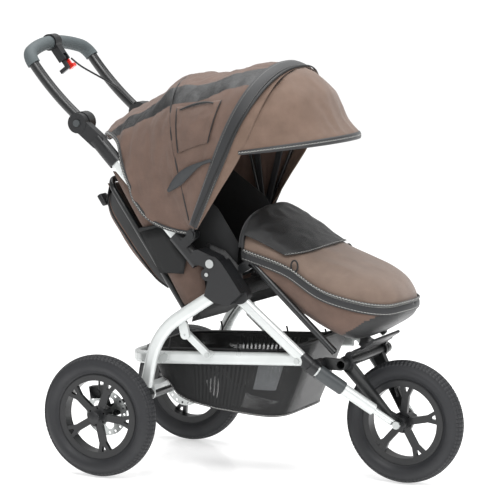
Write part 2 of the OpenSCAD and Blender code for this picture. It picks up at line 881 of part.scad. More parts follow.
// Half outline of a skin: a straight side and a round crown
module skin_outline(crown, half) {
    square([crown, half]);
    intersection() {
        translate([crown, 0]) circle(r = half);
        square([crown + half, half]);
    }
}

// Skin of revolution about the canopy's pivots, between two angles
module canopy_skin(crown, half, from, to) {
    translate([canopy_pivot[0], 0, canopy_pivot[1]]) both_sides() rotate([90, 0, 0])
        rotate(from) rotate_extrude(angle = to - from) mirror([0, 1]) difference() {
            skin_outline(crown, half);
            skin_outline(crown, half - cloth_t);
            translate([-1, -1]) square([17, half + 2]);
        }
}

// Stretched skin between a tall hoop outline and a lower one
module stretched_fan(half, from, to, inset) {
    hull() {
        rotate([0, -from, 0]) translate([0, 0, -0.01]) linear_extrude(0.02) both_halves()
            skin_outline(front_crown, half - inset);
        rotate([0, -to, 0]) translate([0, 0, -0.01]) linear_extrude(0.02) both_halves()
            skin_outline(front_crown - front_rear_drop, half - inset);
    }
}

module both_halves() {
    children();
    mirror([0, 1]) children();
}

// Hoop of round tube with an eye at each pivot
module hoop(crown, half, angle) {
    translate([canopy_pivot[0], 0, canopy_pivot[1]]) rotate([0, -angle, 0]) {
        both_sides() {
            difference() {
                union() {
                    translate([9, half, 0]) rotate([0, 90, 0])
                        cylinder(d = hoop_d, h = crown - 9);
                    translate([0, half + hoop_d / 2 - 0.5, 0]) rotate([90, 0, 0])
                        cylinder(r = 13, h = hoop_d - 1);
                }
                translate([0, half + 20, 0]) rotate([90, 0, 0]) cylinder(r = 5 + FIT, h = 40);
            }
            translate([crown, 0, 0]) rotate_extrude(angle = 90) translate([half, 0])
                circle(d = hoop_d);
        }
    }
}

module canopy_rear_cover() {
    color(brown) {
        difference() {
            canopy_skin(rear_crown, rear_half, 96, back_edge_angle);
            // room for the upper tubes
            both_sides() wall(tube_y - tube_t / 2 - 4, 210) translate(canopy_pivot)
                polygon([[0, 0], 500 * dir(rear_edge_angle), 700 * dir(rear_edge_angle + 10),
                         500 * dir(back_edge_angle + 5)]);
        }
        // side wings down to the curved lower edge
        both_sides() wall(rear_half - cloth_t, rear_half) translate(canopy_pivot) difference() {
            polygon([20 * dir(rear_edge_angle - 4), 180 * dir(rear_edge_angle - 4),
                     232 * dir(rear_edge_angle), 250 * dir(142), 218 * dir(149), 156 * dir(162),
                     98 * dir(171), 46 * dir(175)]);
            circle(r = 16);
        }
    }
}

module canopy_middle_hoop() {
    color(black) hoop(middle_crown, middle_hoop_half, middle_hoop_angle);
}

module canopy_middle_cover() {
    color(brown) canopy_skin(middle_crown, middle_half, middle_front_angle, middle_hoop_angle);
}

module canopy_front_hoop() {
    color(black) hoop(front_crown, front_hoop_half, front_hoop_angle);
}

module canopy_front_cover() {
    color(brown) translate([canopy_pivot[0], 0, canopy_pivot[1]]) difference() {
        stretched_fan(front_half, front_hoop_angle, middle_front_angle + 2, 0);
        stretched_fan(front_half, front_hoop_angle - 1, middle_front_angle + 3, cloth_t);
        rotate([90, 0, 0]) cylinder(r = 17, h = 600, center = true);
    }
}

// A peak that turns about the ends of the front hoop's crown
module canopy_visor() {
    color(brown) translate([visor_pivot[0], 0, visor_pivot[1]]) rotate([90, 0, 0])
        rotate(visor_low_angle) rotate_extrude(angle = front_hoop_angle - visor_low_angle - 1)
            difference() {
                circle(r = visor_r);
                circle(r = visor_r - cloth_t);
                translate([-visor_r - 4, -visor_r - 1]) square([visor_r + 8, 2 * visor_r + 2]);
            }
}

lower_frame_bar();
front_tube(1);  // front_tube_left
front_tube(-1);  // front_tube_right
rear_leg(1);  // rear_leg_left
rear_leg(-1);  // rear_leg_right
brace_struts();
hinge_bracket(1);  // hinge_bracket_left
hinge_bracket(-1);  // hinge_bracket_right
rear_crossbar();
torsion_tube();
fork_sockets();
fork_sleeves();
fork_tubes();
fork_arms();
front_axle();
footrest_crossbar();
footrest_board();
seat_hammock();
seat_rails();
leg_cover();
basket();
frame_fasteners();
brake_cable_lower();
swing_arm(1);  // swing_arm_left
swing_arm(-1);  // swing_arm_right
rear_axle();
brake_calipers();
translate([front_x, 0, axle_z]) tyre();  // tyre_front
at_rear(1) tyre();  // tyre_left
at_rear(-1) tyre();  // tyre_right
translate([front_x, 0, axle_z]) wheel(12, 42, 42, 18);  // wheel_front
rear_wheel(1);  // wheel_left
rear_wheel(-1);  // wheel_right
at_rear(1) hub_cap();  // hub_cap_left
at_rear(-1) hub_cap();  // hub_cap_right
brake_disc(1);  // brake_disc_left
brake_disc(-1);  // brake_disc_right
upper_tubes();
hinge_knuckles();
handle_sockets();
canopy_mounts();
canopy_rear_cover();
handle_arms();
handle_bow();
handle_grip();
angle_button(1);  // angle_button_left
angle_button(-1);  // angle_button_right
brake_clamp();
brake_lever();
parking_lock();
brake_cable_upper();
backrest_frame();
backrest_pad();
rear_pocket();
harness();
canopy_middle_hoop();
canopy_middle_cover();
canopy_front_hoop();
canopy_front_cover();
canopy_visor();
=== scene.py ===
# %% [markdown]
# # A three-wheeled baby stroller
# The stroller stands on air tyres, with a silver oval-tube frame, a hooped canopy, a padded leg cover and
# a mesh basket. The frame parts come from the CAD model. This lesson gives them their finishes, and sews
# the cloth parts that a CAD model only stands in for. All lengths in the tables below are millimetres.

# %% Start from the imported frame
import json
from math import cos, pi, radians, sin, sqrt

import bmesh
import bpy
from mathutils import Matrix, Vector, noise


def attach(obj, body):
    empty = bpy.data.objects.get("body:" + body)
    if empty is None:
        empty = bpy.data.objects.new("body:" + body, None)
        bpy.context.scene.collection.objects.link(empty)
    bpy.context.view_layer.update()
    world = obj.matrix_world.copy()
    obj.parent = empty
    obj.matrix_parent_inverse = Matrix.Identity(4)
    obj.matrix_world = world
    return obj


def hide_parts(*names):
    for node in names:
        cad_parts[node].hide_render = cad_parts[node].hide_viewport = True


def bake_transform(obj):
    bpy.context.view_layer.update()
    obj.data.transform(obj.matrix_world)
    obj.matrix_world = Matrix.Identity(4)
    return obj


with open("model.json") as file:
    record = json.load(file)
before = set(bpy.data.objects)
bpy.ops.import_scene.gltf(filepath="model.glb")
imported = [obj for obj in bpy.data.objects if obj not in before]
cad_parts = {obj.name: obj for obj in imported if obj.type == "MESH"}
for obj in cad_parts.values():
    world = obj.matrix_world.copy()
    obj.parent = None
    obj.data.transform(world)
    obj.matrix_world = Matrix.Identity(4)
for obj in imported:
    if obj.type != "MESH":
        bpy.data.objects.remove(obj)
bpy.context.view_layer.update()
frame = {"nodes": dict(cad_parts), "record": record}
nodes = frame["nodes"]

# %% [markdown]
# ## Colours and nodes
# A colour is written as the hex value a painter would read off a screen. Blender mixes light in linear
# values, so one function turns the one into the other. Another small function adds a shader node, sets
# it and wires it in one go, which keeps each material readable as a recipe.

# %% Colour and node helpers
def linear(colour):
    """A hex sRGB colour as linear red, green, blue and alpha."""
    parts = [int(colour[i:i + 2], 16) / 255 for i in (1, 3, 5)]
    return (*[p / 12.92 if p <= 0.04045 else ((p + 0.055) / 1.055) ** 2.4 for p in parts], 1.0)


def add(tree, kind, inputs=None, **settings):
    """Add a node, set its settings, and wire or set its inputs."""
    node = tree.nodes.new("ShaderNode" + kind)
    for name, value in settings.items():
        setattr(node, name, value)
    for name, value in (inputs or {}).items():
        if isinstance(value, bpy.types.NodeSocket):
            tree.links.new(value, node.inputs[name])
        else:
            node.inputs[name].default_value = value
    return node


def start(name, colour, roughness, **sockets):
    """A new material with its Principled shader set."""
    material = bpy.data.materials.new(name)
    material.use_nodes = True
    shader = material.node_tree.nodes["Principled BSDF"]
    shader.inputs["Base Color"].default_value = linear(colour)
    shader.inputs["Roughness"].default_value = roughness
    for socket, value in sockets.items():
        shader.inputs[socket.replace("_", " ")].default_value = value
    return material, material.node_tree, shader


print("silver lacquer in linear light:", [round(c, 3) for c in linear("#d4d8d7")])

# %% [markdown]
# ## Hard finishes
# Lacquer, moulded nylon, powder coat and rubber all look plain from afar and differ close up, in how
# coarse their grain is and how far the gloss wanders. One recipe makes them all. A fine noise, whose
# scale comes from the grain in millimetres, drives the bump. A slow noise changes the colour and the
# roughness a little, as handling and moulding do.

# %% The recipe for a grained finish
def grained(name, colour, shade, roughness, grain_mm, depth, wander=0.08, **sockets):
    """A material with a fine grain and a slow drift between two colours."""
    material, tree, shader = start(name, colour, roughness, **sockets)
    place = add(tree, "TexCoord").outputs["Object"]
    fine = add(tree, "TexNoise", {"Vector": place, "Scale": 1000 / grain_mm, "Detail": 3.0})
    slow = add(tree, "TexNoise", {"Vector": place, "Scale": 14.0, "Detail": 4.0})
    drift = add(tree, "MapRange", {"Value": slow.outputs["Fac"], "From Min": 0.35, "From Max": 0.65,
                                   "To Min": roughness - wander, "To Max": roughness + wander})
    tint = add(tree, "MixRGB", {"Fac": slow.outputs["Fac"], "Color1": linear(colour),
                                "Color2": linear(shade)})
    bump = add(tree, "Bump", {"Height": fine.outputs["Fac"], "Strength": depth,
                              "Distance": grain_mm / 4000})
    tree.links.new(drift.outputs["Result"], shader.inputs["Roughness"])
    tree.links.new(tint.outputs["Color"], shader.inputs["Base Color"])
    tree.links.new(bump.outputs["Normal"], shader.inputs["Normal"])
    return material


# %% The hard finishes of the frame
finishes = {
    # sprayed aluminium lacquer: small metal flakes under a satin clear coat
    "silver_tube": grained("satin silver lacquer", "#d9dcdb", "#c6cac9", 0.34, 0.6, 0.08,
                           Metallic=0.35, Coat_Weight=0.3, Coat_Roughness=0.25),
    # glass-filled nylon from a spark-eroded mould: an even matte grain
    "black_plastic": grained("moulded black nylon", "#101113", "#1a1b1d", 0.44, 0.9, 0.35),
    "grey_plastic": grained("moulded grey nylon", "#35393b", "#424648", 0.42, 0.9, 0.3),
    # powder coat on steel: orange peel a few tenths of a millimetre across
    "black_metal": grained("satin black powder coat", "#0f1011", "#181a1b", 0.33, 1.4, 0.3,
                           Specular_IOR_Level=0.55),
    "tyre_rubber": grained("moulded tyre rubber", "#1b1c1f", "#252629", 0.6, 1.1, 0.5),
    "rim_plastic": grained("moulded rim nylon", "#131415", "#1e1f21", 0.36, 1.0, 0.25),
    # closed-cell foam sleeve: coarse, soft and dull
    "grip_foam": grained("grip foam", "#454c4e", "#525a5c", 0.72, 1.8, 0.6),
    "red_plastic": grained("moulded red ABS", "#e2372c", "#c92a22", 0.24, 1.0, 0.05,
                           Coat_Weight=0.4),
    "cable_sleeve": grained("cable sleeve vinyl", "#151617", "#202123", 0.4, 0.7, 0.2),
}
print("hard finishes:", ", ".join(m.name for m in finishes.values()))

# %% [markdown]
# Turned and ground steel is covered with fine scratches that all run one way. A noise texture that is
# stretched a hundredfold along one axis gives those scratches, and the light breaks up along them.

# %% Brushed steel
def brushed_steel():
    material, tree, shader = start("brushed steel", "#b9bcbb", 0.3, Metallic=1.0)
    place = add(tree, "TexCoord").outputs["Object"]
    stretched = add(tree, "Mapping", {"Vector": place, "Scale": (900.0, 12.0, 900.0)})
    lines = add(tree, "TexNoise", {"Vector": stretched.outputs[0], "Scale": 1.0, "Detail": 2.0})
    sheen = add(tree, "MapRange", {"Value": lines.outputs["Fac"], "To Min": 0.2, "To Max": 0.5})
    bump = add(tree, "Bump", {"Height": lines.outputs["Fac"], "Strength": 0.25, "Distance": 0.0001})
    tree.links.new(sheen.outputs["Result"], shader.inputs["Roughness"])
    tree.links.new(bump.outputs["Normal"], shader.inputs["Normal"])
    return material


finishes["bare_steel"] = brushed_steel()
print("added", finishes["bare_steel"].name)

# %% [markdown]
# ## Cloth finishes
# The canopy and the leg cover are a dense polyester canvas with warp and weft of two browns. Every cloth
# piece below carries a UV map in metres, so thread spacing is a real length. The real yarn is half a
# millimetre wide and can't be seen at this distance, so it is drawn three times as coarse. Two sine
# waves multiplied make the over-and-under of a plain weave, and a slow noise is the uneven dye.

# %% The recipe for a woven cloth
def woven(name, light, dark, thread_mm, roughness=0.82, depth=0.35, holes=None, **sockets):
    """A plain weave; holes, from 0 to 1, opens it into a mesh that shows what is behind."""
    material, tree, shader = start(name, light, roughness, **sockets)
    uv = add(tree, "SeparateXYZ", {0: add(tree, "UVMap").outputs[0]})
    waves = []
    for axis in (0, 1):
        turn = add(tree, "Math", {0: uv.outputs[axis], 1: 2000 * pi / thread_mm},
                   operation="MULTIPLY")
        waves.append(add(tree, "Math", {0: turn.outputs[0]}, operation="SINE").outputs[0])
    weave = add(tree, "Math", {0: waves[0], 1: waves[1]}, operation="MULTIPLY")
    dye = add(tree, "TexNoise", {"Vector": add(tree, "TexCoord").outputs["Object"],
                                 "Scale": 24.0, "Detail": 5.0, "Roughness": 0.6})
    both = add(tree, "Math", {0: weave.outputs[0], 1: 0.22, 2: dye.outputs["Fac"]},
               operation="MULTIPLY_ADD")
    tint = add(tree, "MixRGB", {"Fac": both.outputs[0], "Color1": linear(dark),
                                "Color2": linear(light)})
    bump = add(tree, "Bump", {"Height": weave.outputs[0], "Strength": depth,
                              "Distance": thread_mm / 6000})
    tree.links.new(tint.outputs["Color"], shader.inputs["Base Color"])
    tree.links.new(bump.outputs["Normal"], shader.inputs["Normal"])
    if holes is not None:
        thread = add(tree, "Math", {0: weave.outputs[0], 1: 1 - 2 * holes}, operation="LESS_THAN")
        tree.links.new(thread.outputs[0], shader.inputs["Alpha"])
    return material


# %% The cloths of the stroller
canvas = woven("brown polyester canvas", "#6c564b", "#4a3a32", 1.6, Sheen_Weight=0.12)
# a lighter copy of the brown canvas: painted light, worn by the peak and the hoop's facing strip
canvas_lit = woven("brown canvas painted lighter as lit", "#776154", "#564438", 1.6, Sheen_Weight=0.15)
canvas_pale = woven("brown microfibre of the leg cover", "#7c695c", "#5a493f", 1.4, 0.74,
                    Sheen_Weight=0.25)
ripstop = woven("black ripstop nylon", "#151617", "#0b0c0d", 2.2, 0.42, Sheen_Weight=0.05)
padding = woven("black seat cloth", "#141517", "#0a0b0c", 2.0, 0.8, Sheen_Weight=0.05)
basket_mesh = woven("black basket mesh", "#131415", "#0a0b0c", 2.6, 0.6, holes=0.2)
pale_mesh = woven("grey window mesh", "#6c6e70", "#434547", 2.6, 0.6, holes=0.3)
webbing = woven("black polyester webbing", "#101112", "#090a0b", 2.4, 0.5)
charcoal_cloth = woven("charcoal strap cloth", "#383a3c", "#2a2c2e", 2.0, 0.7)
print("cloths:", canvas.name, ripstop.name, basket_mesh.name)

# %% [markdown]
# Seam tapes are black, with one or two rows of white thread. The tape's UV map runs along it in metres,
# with its middle at zero across, so a row of stitches is a thin line at a set distance from the middle,
# cut into dashes. The zigzag edging is the same line, swung from side to side by a folded-over distance.

# %% The recipe for stitched tape
def stitched(name, row_mm, swing_mm, pitch_mm, thread_mm=1.6, colour="#1b1c1e", thread="#d8d8d4"):
    """Black tape with white thread at row_mm from its middle, swinging by swing_mm."""
    material, tree, shader = start(name, colour, 0.6, Sheen_Weight=0.15)
    uv = add(tree, "SeparateXYZ", {0: add(tree, "UVMap").outputs[0]})
    along, across = uv.outputs[0], uv.outputs[1]
    step = pitch_mm / 1000
    fold = add(tree, "Math", {0: along, 1: step}, operation="PINGPONG")
    swing = add(tree, "Math", {0: fold.outputs[0], 1: swing_mm / pitch_mm, 2: -swing_mm / 2000},
                operation="MULTIPLY_ADD")
    moved = add(tree, "Math", {0: across, 1: swing.outputs[0]}, operation="SUBTRACT")
    level = add(tree, "Math", {0: moved.outputs[0]}, operation="ABSOLUTE")
    off = add(tree, "Math", {0: level.outputs[0], 1: row_mm / 1000}, operation="SUBTRACT")
    near = add(tree, "Math", {0: off.outputs[0]}, operation="ABSOLUTE")
    line = add(tree, "Math", {0: near.outputs[0], 1: thread_mm / 2000}, operation="LESS_THAN")
    gap = add(tree, "Math", {0: fold.outputs[0], 1: step * 0.22}, operation="GREATER_THAN")
    stitch = add(tree, "Math", {0: line.outputs[0], 1: gap.outputs[0]}, operation="MULTIPLY")
    tint = add(tree, "MixRGB", {"Fac": stitch.outputs[0], "Color1": linear(colour),
                                "Color2": linear(thread)})
    bump = add(tree, "Bump", {"Height": stitch.outputs[0], "Strength": 0.6, "Distance": 0.0006})
    tree.links.new(tint.outputs["Color"], shader.inputs["Base Color"])
    tree.links.new(bump.outputs["Normal"], shader.inputs["Normal"])
    return material


edging = stitched("zigzag edging tape", 0.0, 3.0, 4.0, 1.1, thread="#b9b9b4")
band_tape = stitched("hoop band tape", 12.0, 1.0, 4.0, 0.9, thread="#6d6d6a")
zip_tape = stitched("zip tape", 8.0, 0.0, 4.0, 1.1, thread="#b0b0ab")
print("tapes:", edging.name, band_tape.name, zip_tape.name)

# %% Finish every CAD piece
for part in frame["record"]["subparts"]:
    material = finishes.get(part["material_slot"], padding)
    mesh = nodes[part["node"]].data
    for slot in range(max(1, len(mesh.materials))):
        if mesh.materials:
            mesh.materials[slot] = material
        else:
            mesh.materials.append(material)

# %% [markdown]
# ## Tools for sewing
# Cloth is cut flat and bent over the frame. The same is done here: a flat grid gets its UV map while it
# is flat, in metres, and then each of its points is moved to where the bent cloth goes. Smooth lines
# through a few measured points say where that is. Thickness comes last, from Solidify, which is then
# applied so that the finished piece is a plain mesh.

# %% Smooth lines and the sewing grid
def curve(table, x):
    """The values at x on smooth lines through the rows of a table; each row is (x, value, ...)."""
    i = max(0, min(len(table) - 2, sum(1 for row in table if row[0] <= x) - 1))
    a, b, c, d = (table[max(0, min(len(table) - 1, k))] for k in (i - 1, i, i + 1, i + 2))
    width = c[0] - b[0]
    t = max(0.0, min(1.0, (x - b[0]) / width))
    values = []
    for k in range(1, len(b)):
        m0 = (c[k] - a[k]) / (c[0] - a[0]) * width
        m1 = (d[k] - b[k]) / (d[0] - b[0]) * width
        values.append((2 * t ** 3 - 3 * t ** 2 + 1) * b[k] + (t ** 3 - 2 * t ** 2 + t) * m0
                      + (3 * t ** 2 - 2 * t ** 3) * c[k] + (t ** 3 - t ** 2) * m1)
    return values


def piece(name, bm, materials, body=None):
    """A finished bmesh as an object at the origin, smooth, riding on a body."""
    mesh = bpy.data.meshes.new(name)
    bm.to_mesh(mesh)
    bm.free()
    mesh.shade_smooth()
    obj = bpy.data.objects.new(name, mesh)
    bpy.context.scene.collection.objects.link(obj)
    for material in materials:
        mesh.materials.append(material)
    if body:
        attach(obj, body)
    return obj


def applied(obj):
    """Bake an object's modifiers into its mesh."""
    graph = bpy.context.evaluated_depsgraph_get()
    mesh = bpy.data.meshes.new_from_object(obj.evaluated_get(graph))
    obj.modifiers.clear()
    obj.data = mesh
    return obj


def thicken(obj, thickness_mm, side=0.0, levels=0):
    """Give a sheet its thickness, and round it with subdivision where levels says so."""
    if thickness_mm:
        wall = obj.modifiers.new("thickness", "SOLIDIFY")
        wall.thickness, wall.offset = thickness_mm / 1000, side
    if levels:
        soft = obj.modifiers.new("soft", "SUBSURF")
        soft.levels = soft.render_levels = levels
    return applied(obj)


def sewn(shape, columns, rows, size, colour=None, folds=None):
    """A grid bent to shape(s, t) in mm; colour(s, t) picks a face's cloth, folds moves along normals."""
    bm = bmesh.new()
    uv = bm.loops.layers.uv.new("UVMap")
    bmesh.ops.create_grid(bm, x_segments=columns, y_segments=rows, size=0.5)
    for face in bm.faces:
        if colour:
            middle = face.calc_center_median()
            face.material_index = colour(middle.x + 0.5, middle.y + 0.5)
        for corner in face.loops:
            corner[uv].uv = ((corner.vert.co.x + 0.5) * size[0] / 1000, corner.vert.co.y * size[1] / 1000)
    for vert in bm.verts:
        vert.co = Vector(shape(vert.co.x + 0.5, vert.co.y + 0.5)) / 1000
    if folds:
        bm.normal_update()
        moves = [(vert, vert.normal * folds(vert.co * 1000) / 1000) for vert in bm.verts]
        for vert, move in moves:
            vert.co += move
    return bm


def ripples(size_mm, height_mm, stretch=(1, 1, 1), seed=0.0):
    """Soft folds: smooth noise of that size, squeezed or stretched along the axes."""
    def height(p):
        q = Vector((p[0] * stretch[0], abs(p[1]) * stretch[1], p[2] * stretch[2])) / size_mm
        ridge = 1 - abs(noise.noise(q + Vector((seed, 7.3, 1.7)))) * 2
        return height_mm * (0.6 * noise.noise(q * 0.6 + Vector((seed, 0, 0))) + 0.7 * (ridge - 0.6))
    return height


print("a smooth line through three points at 0.5:", curve([(0, 0), (1, 1), (2, 0)], 0.5))

# %% Tape and cord along a path
def lengths(path):
    """How far along a path each of its points lies, in mm."""
    total = [0.0]
    for a, b in zip(path, path[1:]):
        total.append(total[-1] + (Vector(b) - Vector(a)).length)
    return total


def tape(name, path, normals, width, material, body, thickness=1.6, lift=0.0, crown=0.0):
    """Flat tape that follows a path in mm, facing along normals; width may change along it."""
    path = [Vector(p) for p in path]
    far = lengths(path)
    count = len(path) - 1
    widths = width if isinstance(width, list) else [width] * len(path)
    bm = bmesh.new()
    uv = bm.loops.layers.uv.new("UVMap")
    bmesh.ops.create_grid(bm, x_segments=count, y_segments=4, size=0.5)
    places = {vert: (round((vert.co.x + 0.5) * count), vert.co.y) for vert in bm.verts}
    for face in bm.faces:
        for corner in face.loops:
            i, across = places[corner.vert]
            corner[uv].uv = (far[i] / 1000, across * widths[i] / 1000)
    for vert, (i, across) in places.items():
        tangent = (path[min(i + 1, count)] - path[max(i - 1, 0)]).normalized()
        normal = Vector(normals[i]).normalized()
        side = normal.cross(tangent).normalized()
        bulge = lift + crown * (1 - 4 * across * across)
        vert.co = (path[i] + side * across * widths[i] + normal * bulge) / 1000
    bmesh.ops.recalc_face_normals(bm, faces=bm.faces)
    return thicken(piece(name, bm, [material], body), thickness)


def cording(name, path, radius, material, body, closed=False):
    """A round cord, tube or piping swept along a smooth path in mm."""
    line = bpy.data.curves.new(name, "CURVE")
    line.dimensions, line.bevel_depth, line.bevel_resolution = "3D", radius / 1000, 3
    line.use_fill_caps = True
    spline = line.splines.new("BEZIER")
    spline.bezier_points.add(len(path) - 1)
    spline.use_cyclic_u, spline.resolution_u = closed, 6
    for point, place in zip(spline.bezier_points, path):
        point.co = Vector(place) / 1000
        point.handle_left_type = point.handle_right_type = "AUTO"
    drawn = bpy.data.objects.new(name + "_line", line)
    bpy.context.scene.collection.objects.link(drawn)
    graph = bpy.context.evaluated_depsgraph_get()
    mesh = bpy.data.meshes.new_from_object(drawn.evaluated_get(graph))
    mesh.name = name
    bpy.data.objects.remove(drawn)
    mesh.shade_smooth()
    mesh.materials.clear()
    mesh.materials.append(material)
    obj = bpy.data.objects.new(name, mesh)
    bpy.context.scene.collection.objects.link(obj)
    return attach(obj, body)


print("tape and cording tools are ready")

# %% [markdown]
# ## Tyres
# An air tyre is a spun shape: one cross-section turned about the axle. The tread is cut from its crown
# afterwards. Each crown face of the spun shape is inset and pushed out, which leaves the square rubber
# blocks and the sipes between them, as the mould does.

# %% Tyres with a block tread
SECTION = [(106.5, -12.5), (109, -15.5), (113, -17), (117, -22), (124, -26.8), (131, -28.2),
           (138, -26.6), (145, -21.5), (150.2, -15.5), (153.6, -8.5), (154.6, 0), (153.6, 8.5),
           (150.2, 15.5), (145, 21.5), (138, 26.6), (131, 28.2), (124, 26.8), (117, 22),
           (113, 17), (109, 15.5), (106.5, 12.5)]


def tyre(name, centre, body, cad_name):
    bm = bmesh.new()
    loop = [bm.verts.new((0, y / 1000, r / 1000)) for r, y in SECTION]
    edges = [bm.edges.new(pair) for pair in zip(loop, loop[1:] + loop[:1])]
    bmesh.ops.spin(bm, geom=loop + edges, axis=(0, 1, 0), cent=(0, 0, 0), angle=2 * pi, steps=88,
                   use_merge=True)
    bmesh.ops.remove_doubles(bm, verts=bm.verts, dist=1e-6)
    bmesh.ops.recalc_face_normals(bm, faces=bm.faces)
    tread = [f for f in bm.faces if sqrt(f.calc_center_median().x ** 2
                                         + f.calc_center_median().z ** 2) > 0.1465]
    blocks = bmesh.ops.inset_individual(bm, faces=tread, thickness=0.0011, depth=0.0)
    for face in tread:
        push = face.normal * 0.0022
        for vert in face.verts:
            vert.co += push
    ribs = [e for e in bm.edges if all(abs(sqrt(v.co.x ** 2 + v.co.z ** 2) - 0.113) < 4e-4
                                       for v in e.verts)]
    bmesh.ops.bevel(bm, geom=ribs, offset=0.001, segments=2, affect="EDGES", profile=0.5, material=-1)
    bmesh.ops.translate(bm, vec=centre, verts=bm.verts)
    obj = piece(name, bm, [finishes["tyre_rubber"]], body)
    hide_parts(cad_name)
    return len(blocks["faces"])


for side, centre in (("front", (0.435, 0, 0.1575)), ("left", (-0.295, 0.261, 0.1575)),
                     ("right", (-0.295, -0.261, 0.1575))):
    count = tyre(side + "_tyre", centre, side + "_wheel", "tyre_" + side)
print("three tyres, each with", count // 4, "tread blocks")

# %% [markdown]
# ## Canopy
# The canopy cloth is stretched over two hoops that turn about one pivot on each side. A point of it is
# best given as an angle about the pivots and a place along the hoop, from the top of the arch down to the
# pivot. A table says how far the cloth stands from the pivots at each angle: it is held out at the
# hoops and dips between them, where it hangs in a shallow valley.

# %% The surface the canopy cloth follows
PIVOT = (-55.0, 630.0)
# angle about the pivots: half width, where the arch starts, reach to the top of the arch
CANOPY = [(60, 226, 226, 451), (67, 226, 226, 451), (78, 223, 212, 420), (91, 219, 192, 389),
          (104, 215.5, 176, 392), (115, 212, 170, 373), (125, 208, 168, 377), (139, 205, 168, 393),
          (150, 203, 168, 400), (176, 203, 168, 400)]
# the edges along the hoop, by angle, of the black band on the shoulder: painted shade where the canopy turns
# from its top to its side
SHADE_BAND = [(66, 0.10, 0.27), (78, 0.14, 0.30), (92, 0.19, 0.33), (104, 0.20, 0.33),
         (122, 0.21, 0.31), (150, 0.22, 0.29), (176, 0.22, 0.29)]
# the angle where the cloth ends at the back, by place along the hoop
BACK_EDGE = [(0, 149), (0.2, 141), (0.35, 137), (0.45, 141), (0.55, 149), (0.6, 159), (0.75, 169),
             (0.9, 174), (1, 175)]


def canopy_point(angle, place, out=0.0):
    """Point of the canopy; place is -1 at the right pivot, 0 at the top and 1 at the left pivot."""
    half, start, reach = curve(CANOPY, angle)
    half, reach = half + out, reach + out
    q, side = abs(place), -1 if place < 0 else 1
    if q < 0.6:
        turn = (1 - q / 0.6) * pi / 2
        y, s = half * cos(turn) ** 0.83, start + (reach - start) * sin(turn) ** 0.83
    else:
        y, s = half, 16 + (start - 16) * (1 - q) / 0.4
    a = radians(angle)
    return (PIVOT[0] + s * cos(a), side * y, PIVOT[1] + s * sin(a))


def shade_band_place(u, angle):
    """Grid column u, 0 to 1, as a place along the hoop, with columns on the edges of the painted shade band.
    """
    w, side = abs(2 * u - 1), -1 if u < 0.5 else 1
    a, b = curve(SHADE_BAND, angle)
    q = a * w / 0.25 if w < 0.25 else a + (b - a) * (w - 0.25) / 0.15 if w < 0.4 \
        else b + (1 - b) * (w - 0.4) / 0.6
    return side * q


def canopy_normal(angle, place):
    a, b = Vector(canopy_point(angle, place)), Vector(canopy_point(angle, place, 5))
    return (b - a).normalized()


print("top of the front hoop at", [round(c) for c in canopy_point(67, 0)])

# %% The two canopy sheets
# faces on the shoulder band take the black ripstop as painted shade, where the canopy turns away from the
# light
def shade_band_cloth(u):
    return 1 if 0.25 < abs(2 * u - 1) < 0.4 else 0


def rear_sheet(s, t):
    place = shade_band_place(s, 104 + 36 * t)
    return canopy_point(104 + (curve(BACK_EDGE, abs(place))[0] - 104) * t, place)


def front_sheet(s, t):
    angle = 67 + 37 * t
    return canopy_point(angle, shade_band_place(s, angle))


def canopy_folds(height):
    broad = ripples(64, height, (1.3, 1.1, 0.6), 3.1)
    fine = ripples(25, height * 0.4, (1.5, 1, 0.6), 8.0)

    def lift(p):
        from_axis = (p - Vector((PIVOT[0], p[1], PIVOT[1]))).length
        return (broad(p) + fine(p)) * min(1.0, from_axis / 150)
    return lift


# the black ripstop on these sheets is the painted shade band along the shoulders
rear = piece("canopy_rear_sheet", sewn(lambda s, t: rear_sheet(s, 1 - t), 120, 44, (1280, 230),
                                       lambda s, t: shade_band_cloth(s), canopy_folds(7.0)),
             [canvas, ripstop])
thicken(rear, 1.4)
front = piece("canopy_front_sheet", sewn(lambda s, t: front_sheet(s, 1 - t), 120, 36, (1340, 250),
                                         lambda s, t: shade_band_cloth(s), canopy_folds(5.0)),
              [canvas, ripstop])
thicken(front, 1.4)


def sheet_area(obj):
    """Area of one side of a thickened sheet, in square metres."""
    return sum(f.area for f in obj.data.polygons) / 2


# %% Hang the sheets on the hoops
def hang(obj, width, *cad_names):
    """Hide the CAD skins that a sheet stands for."""
    if cad_names:
        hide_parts(*cad_names)


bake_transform(rear)
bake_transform(front)
hang(rear, 1.28, "canopy_rear_cover")
hang(front, 1.34, "canopy_middle_cover", "canopy_front_cover")
print("canopy sheets hang on the hoops")

# %% [markdown]
# The black band over the front hoop is a sleeve with a row of stitches along each edge. In front of it a
# narrow strip of canvas faces the opening, and along the lower rear edge runs a black edging tape with
# white zigzag thread. Each one is a tape that takes its path and its facing from the canopy's surface.

# %% Hoop band, facing strip and edging
def along_hoop(steps, low=-1.0, high=1.0):
    return [low + (high - low) * i / steps for i in range(steps + 1)]


places = along_hoop(120, -0.985, 0.985)
band_widths = [36 - 14 * max(0.0, abs(q) - 0.6) / 0.4 for q in places]
tape("front_hoop_band", [canopy_point(67.4, q, 2.5) for q in places],
     [canopy_normal(67.4, q) for q in places], band_widths, band_tape, "canopy_front", 2.0, 0, 2.0)
tape("front_hoop_piping", [canopy_point(64.6, q, 3.5) for q in places],
     [canopy_normal(64.6, q) for q in places], 7.0, webbing, "canopy_front", 2.4, 0, 1.6)

FACING = [(0, 14), (0.2, 20), (0.45, 34), (0.6, 38), (0.8, 22), (1, 6)]


def facing(s, t):
    place = -1 + 2 * s
    x, y, z = canopy_point(66, place, -1.0)
    reach = curve(FACING, abs(place))[0]
    return (x + reach * t, y * (1 - 0.05 * t), z - 0.25 * reach * t)
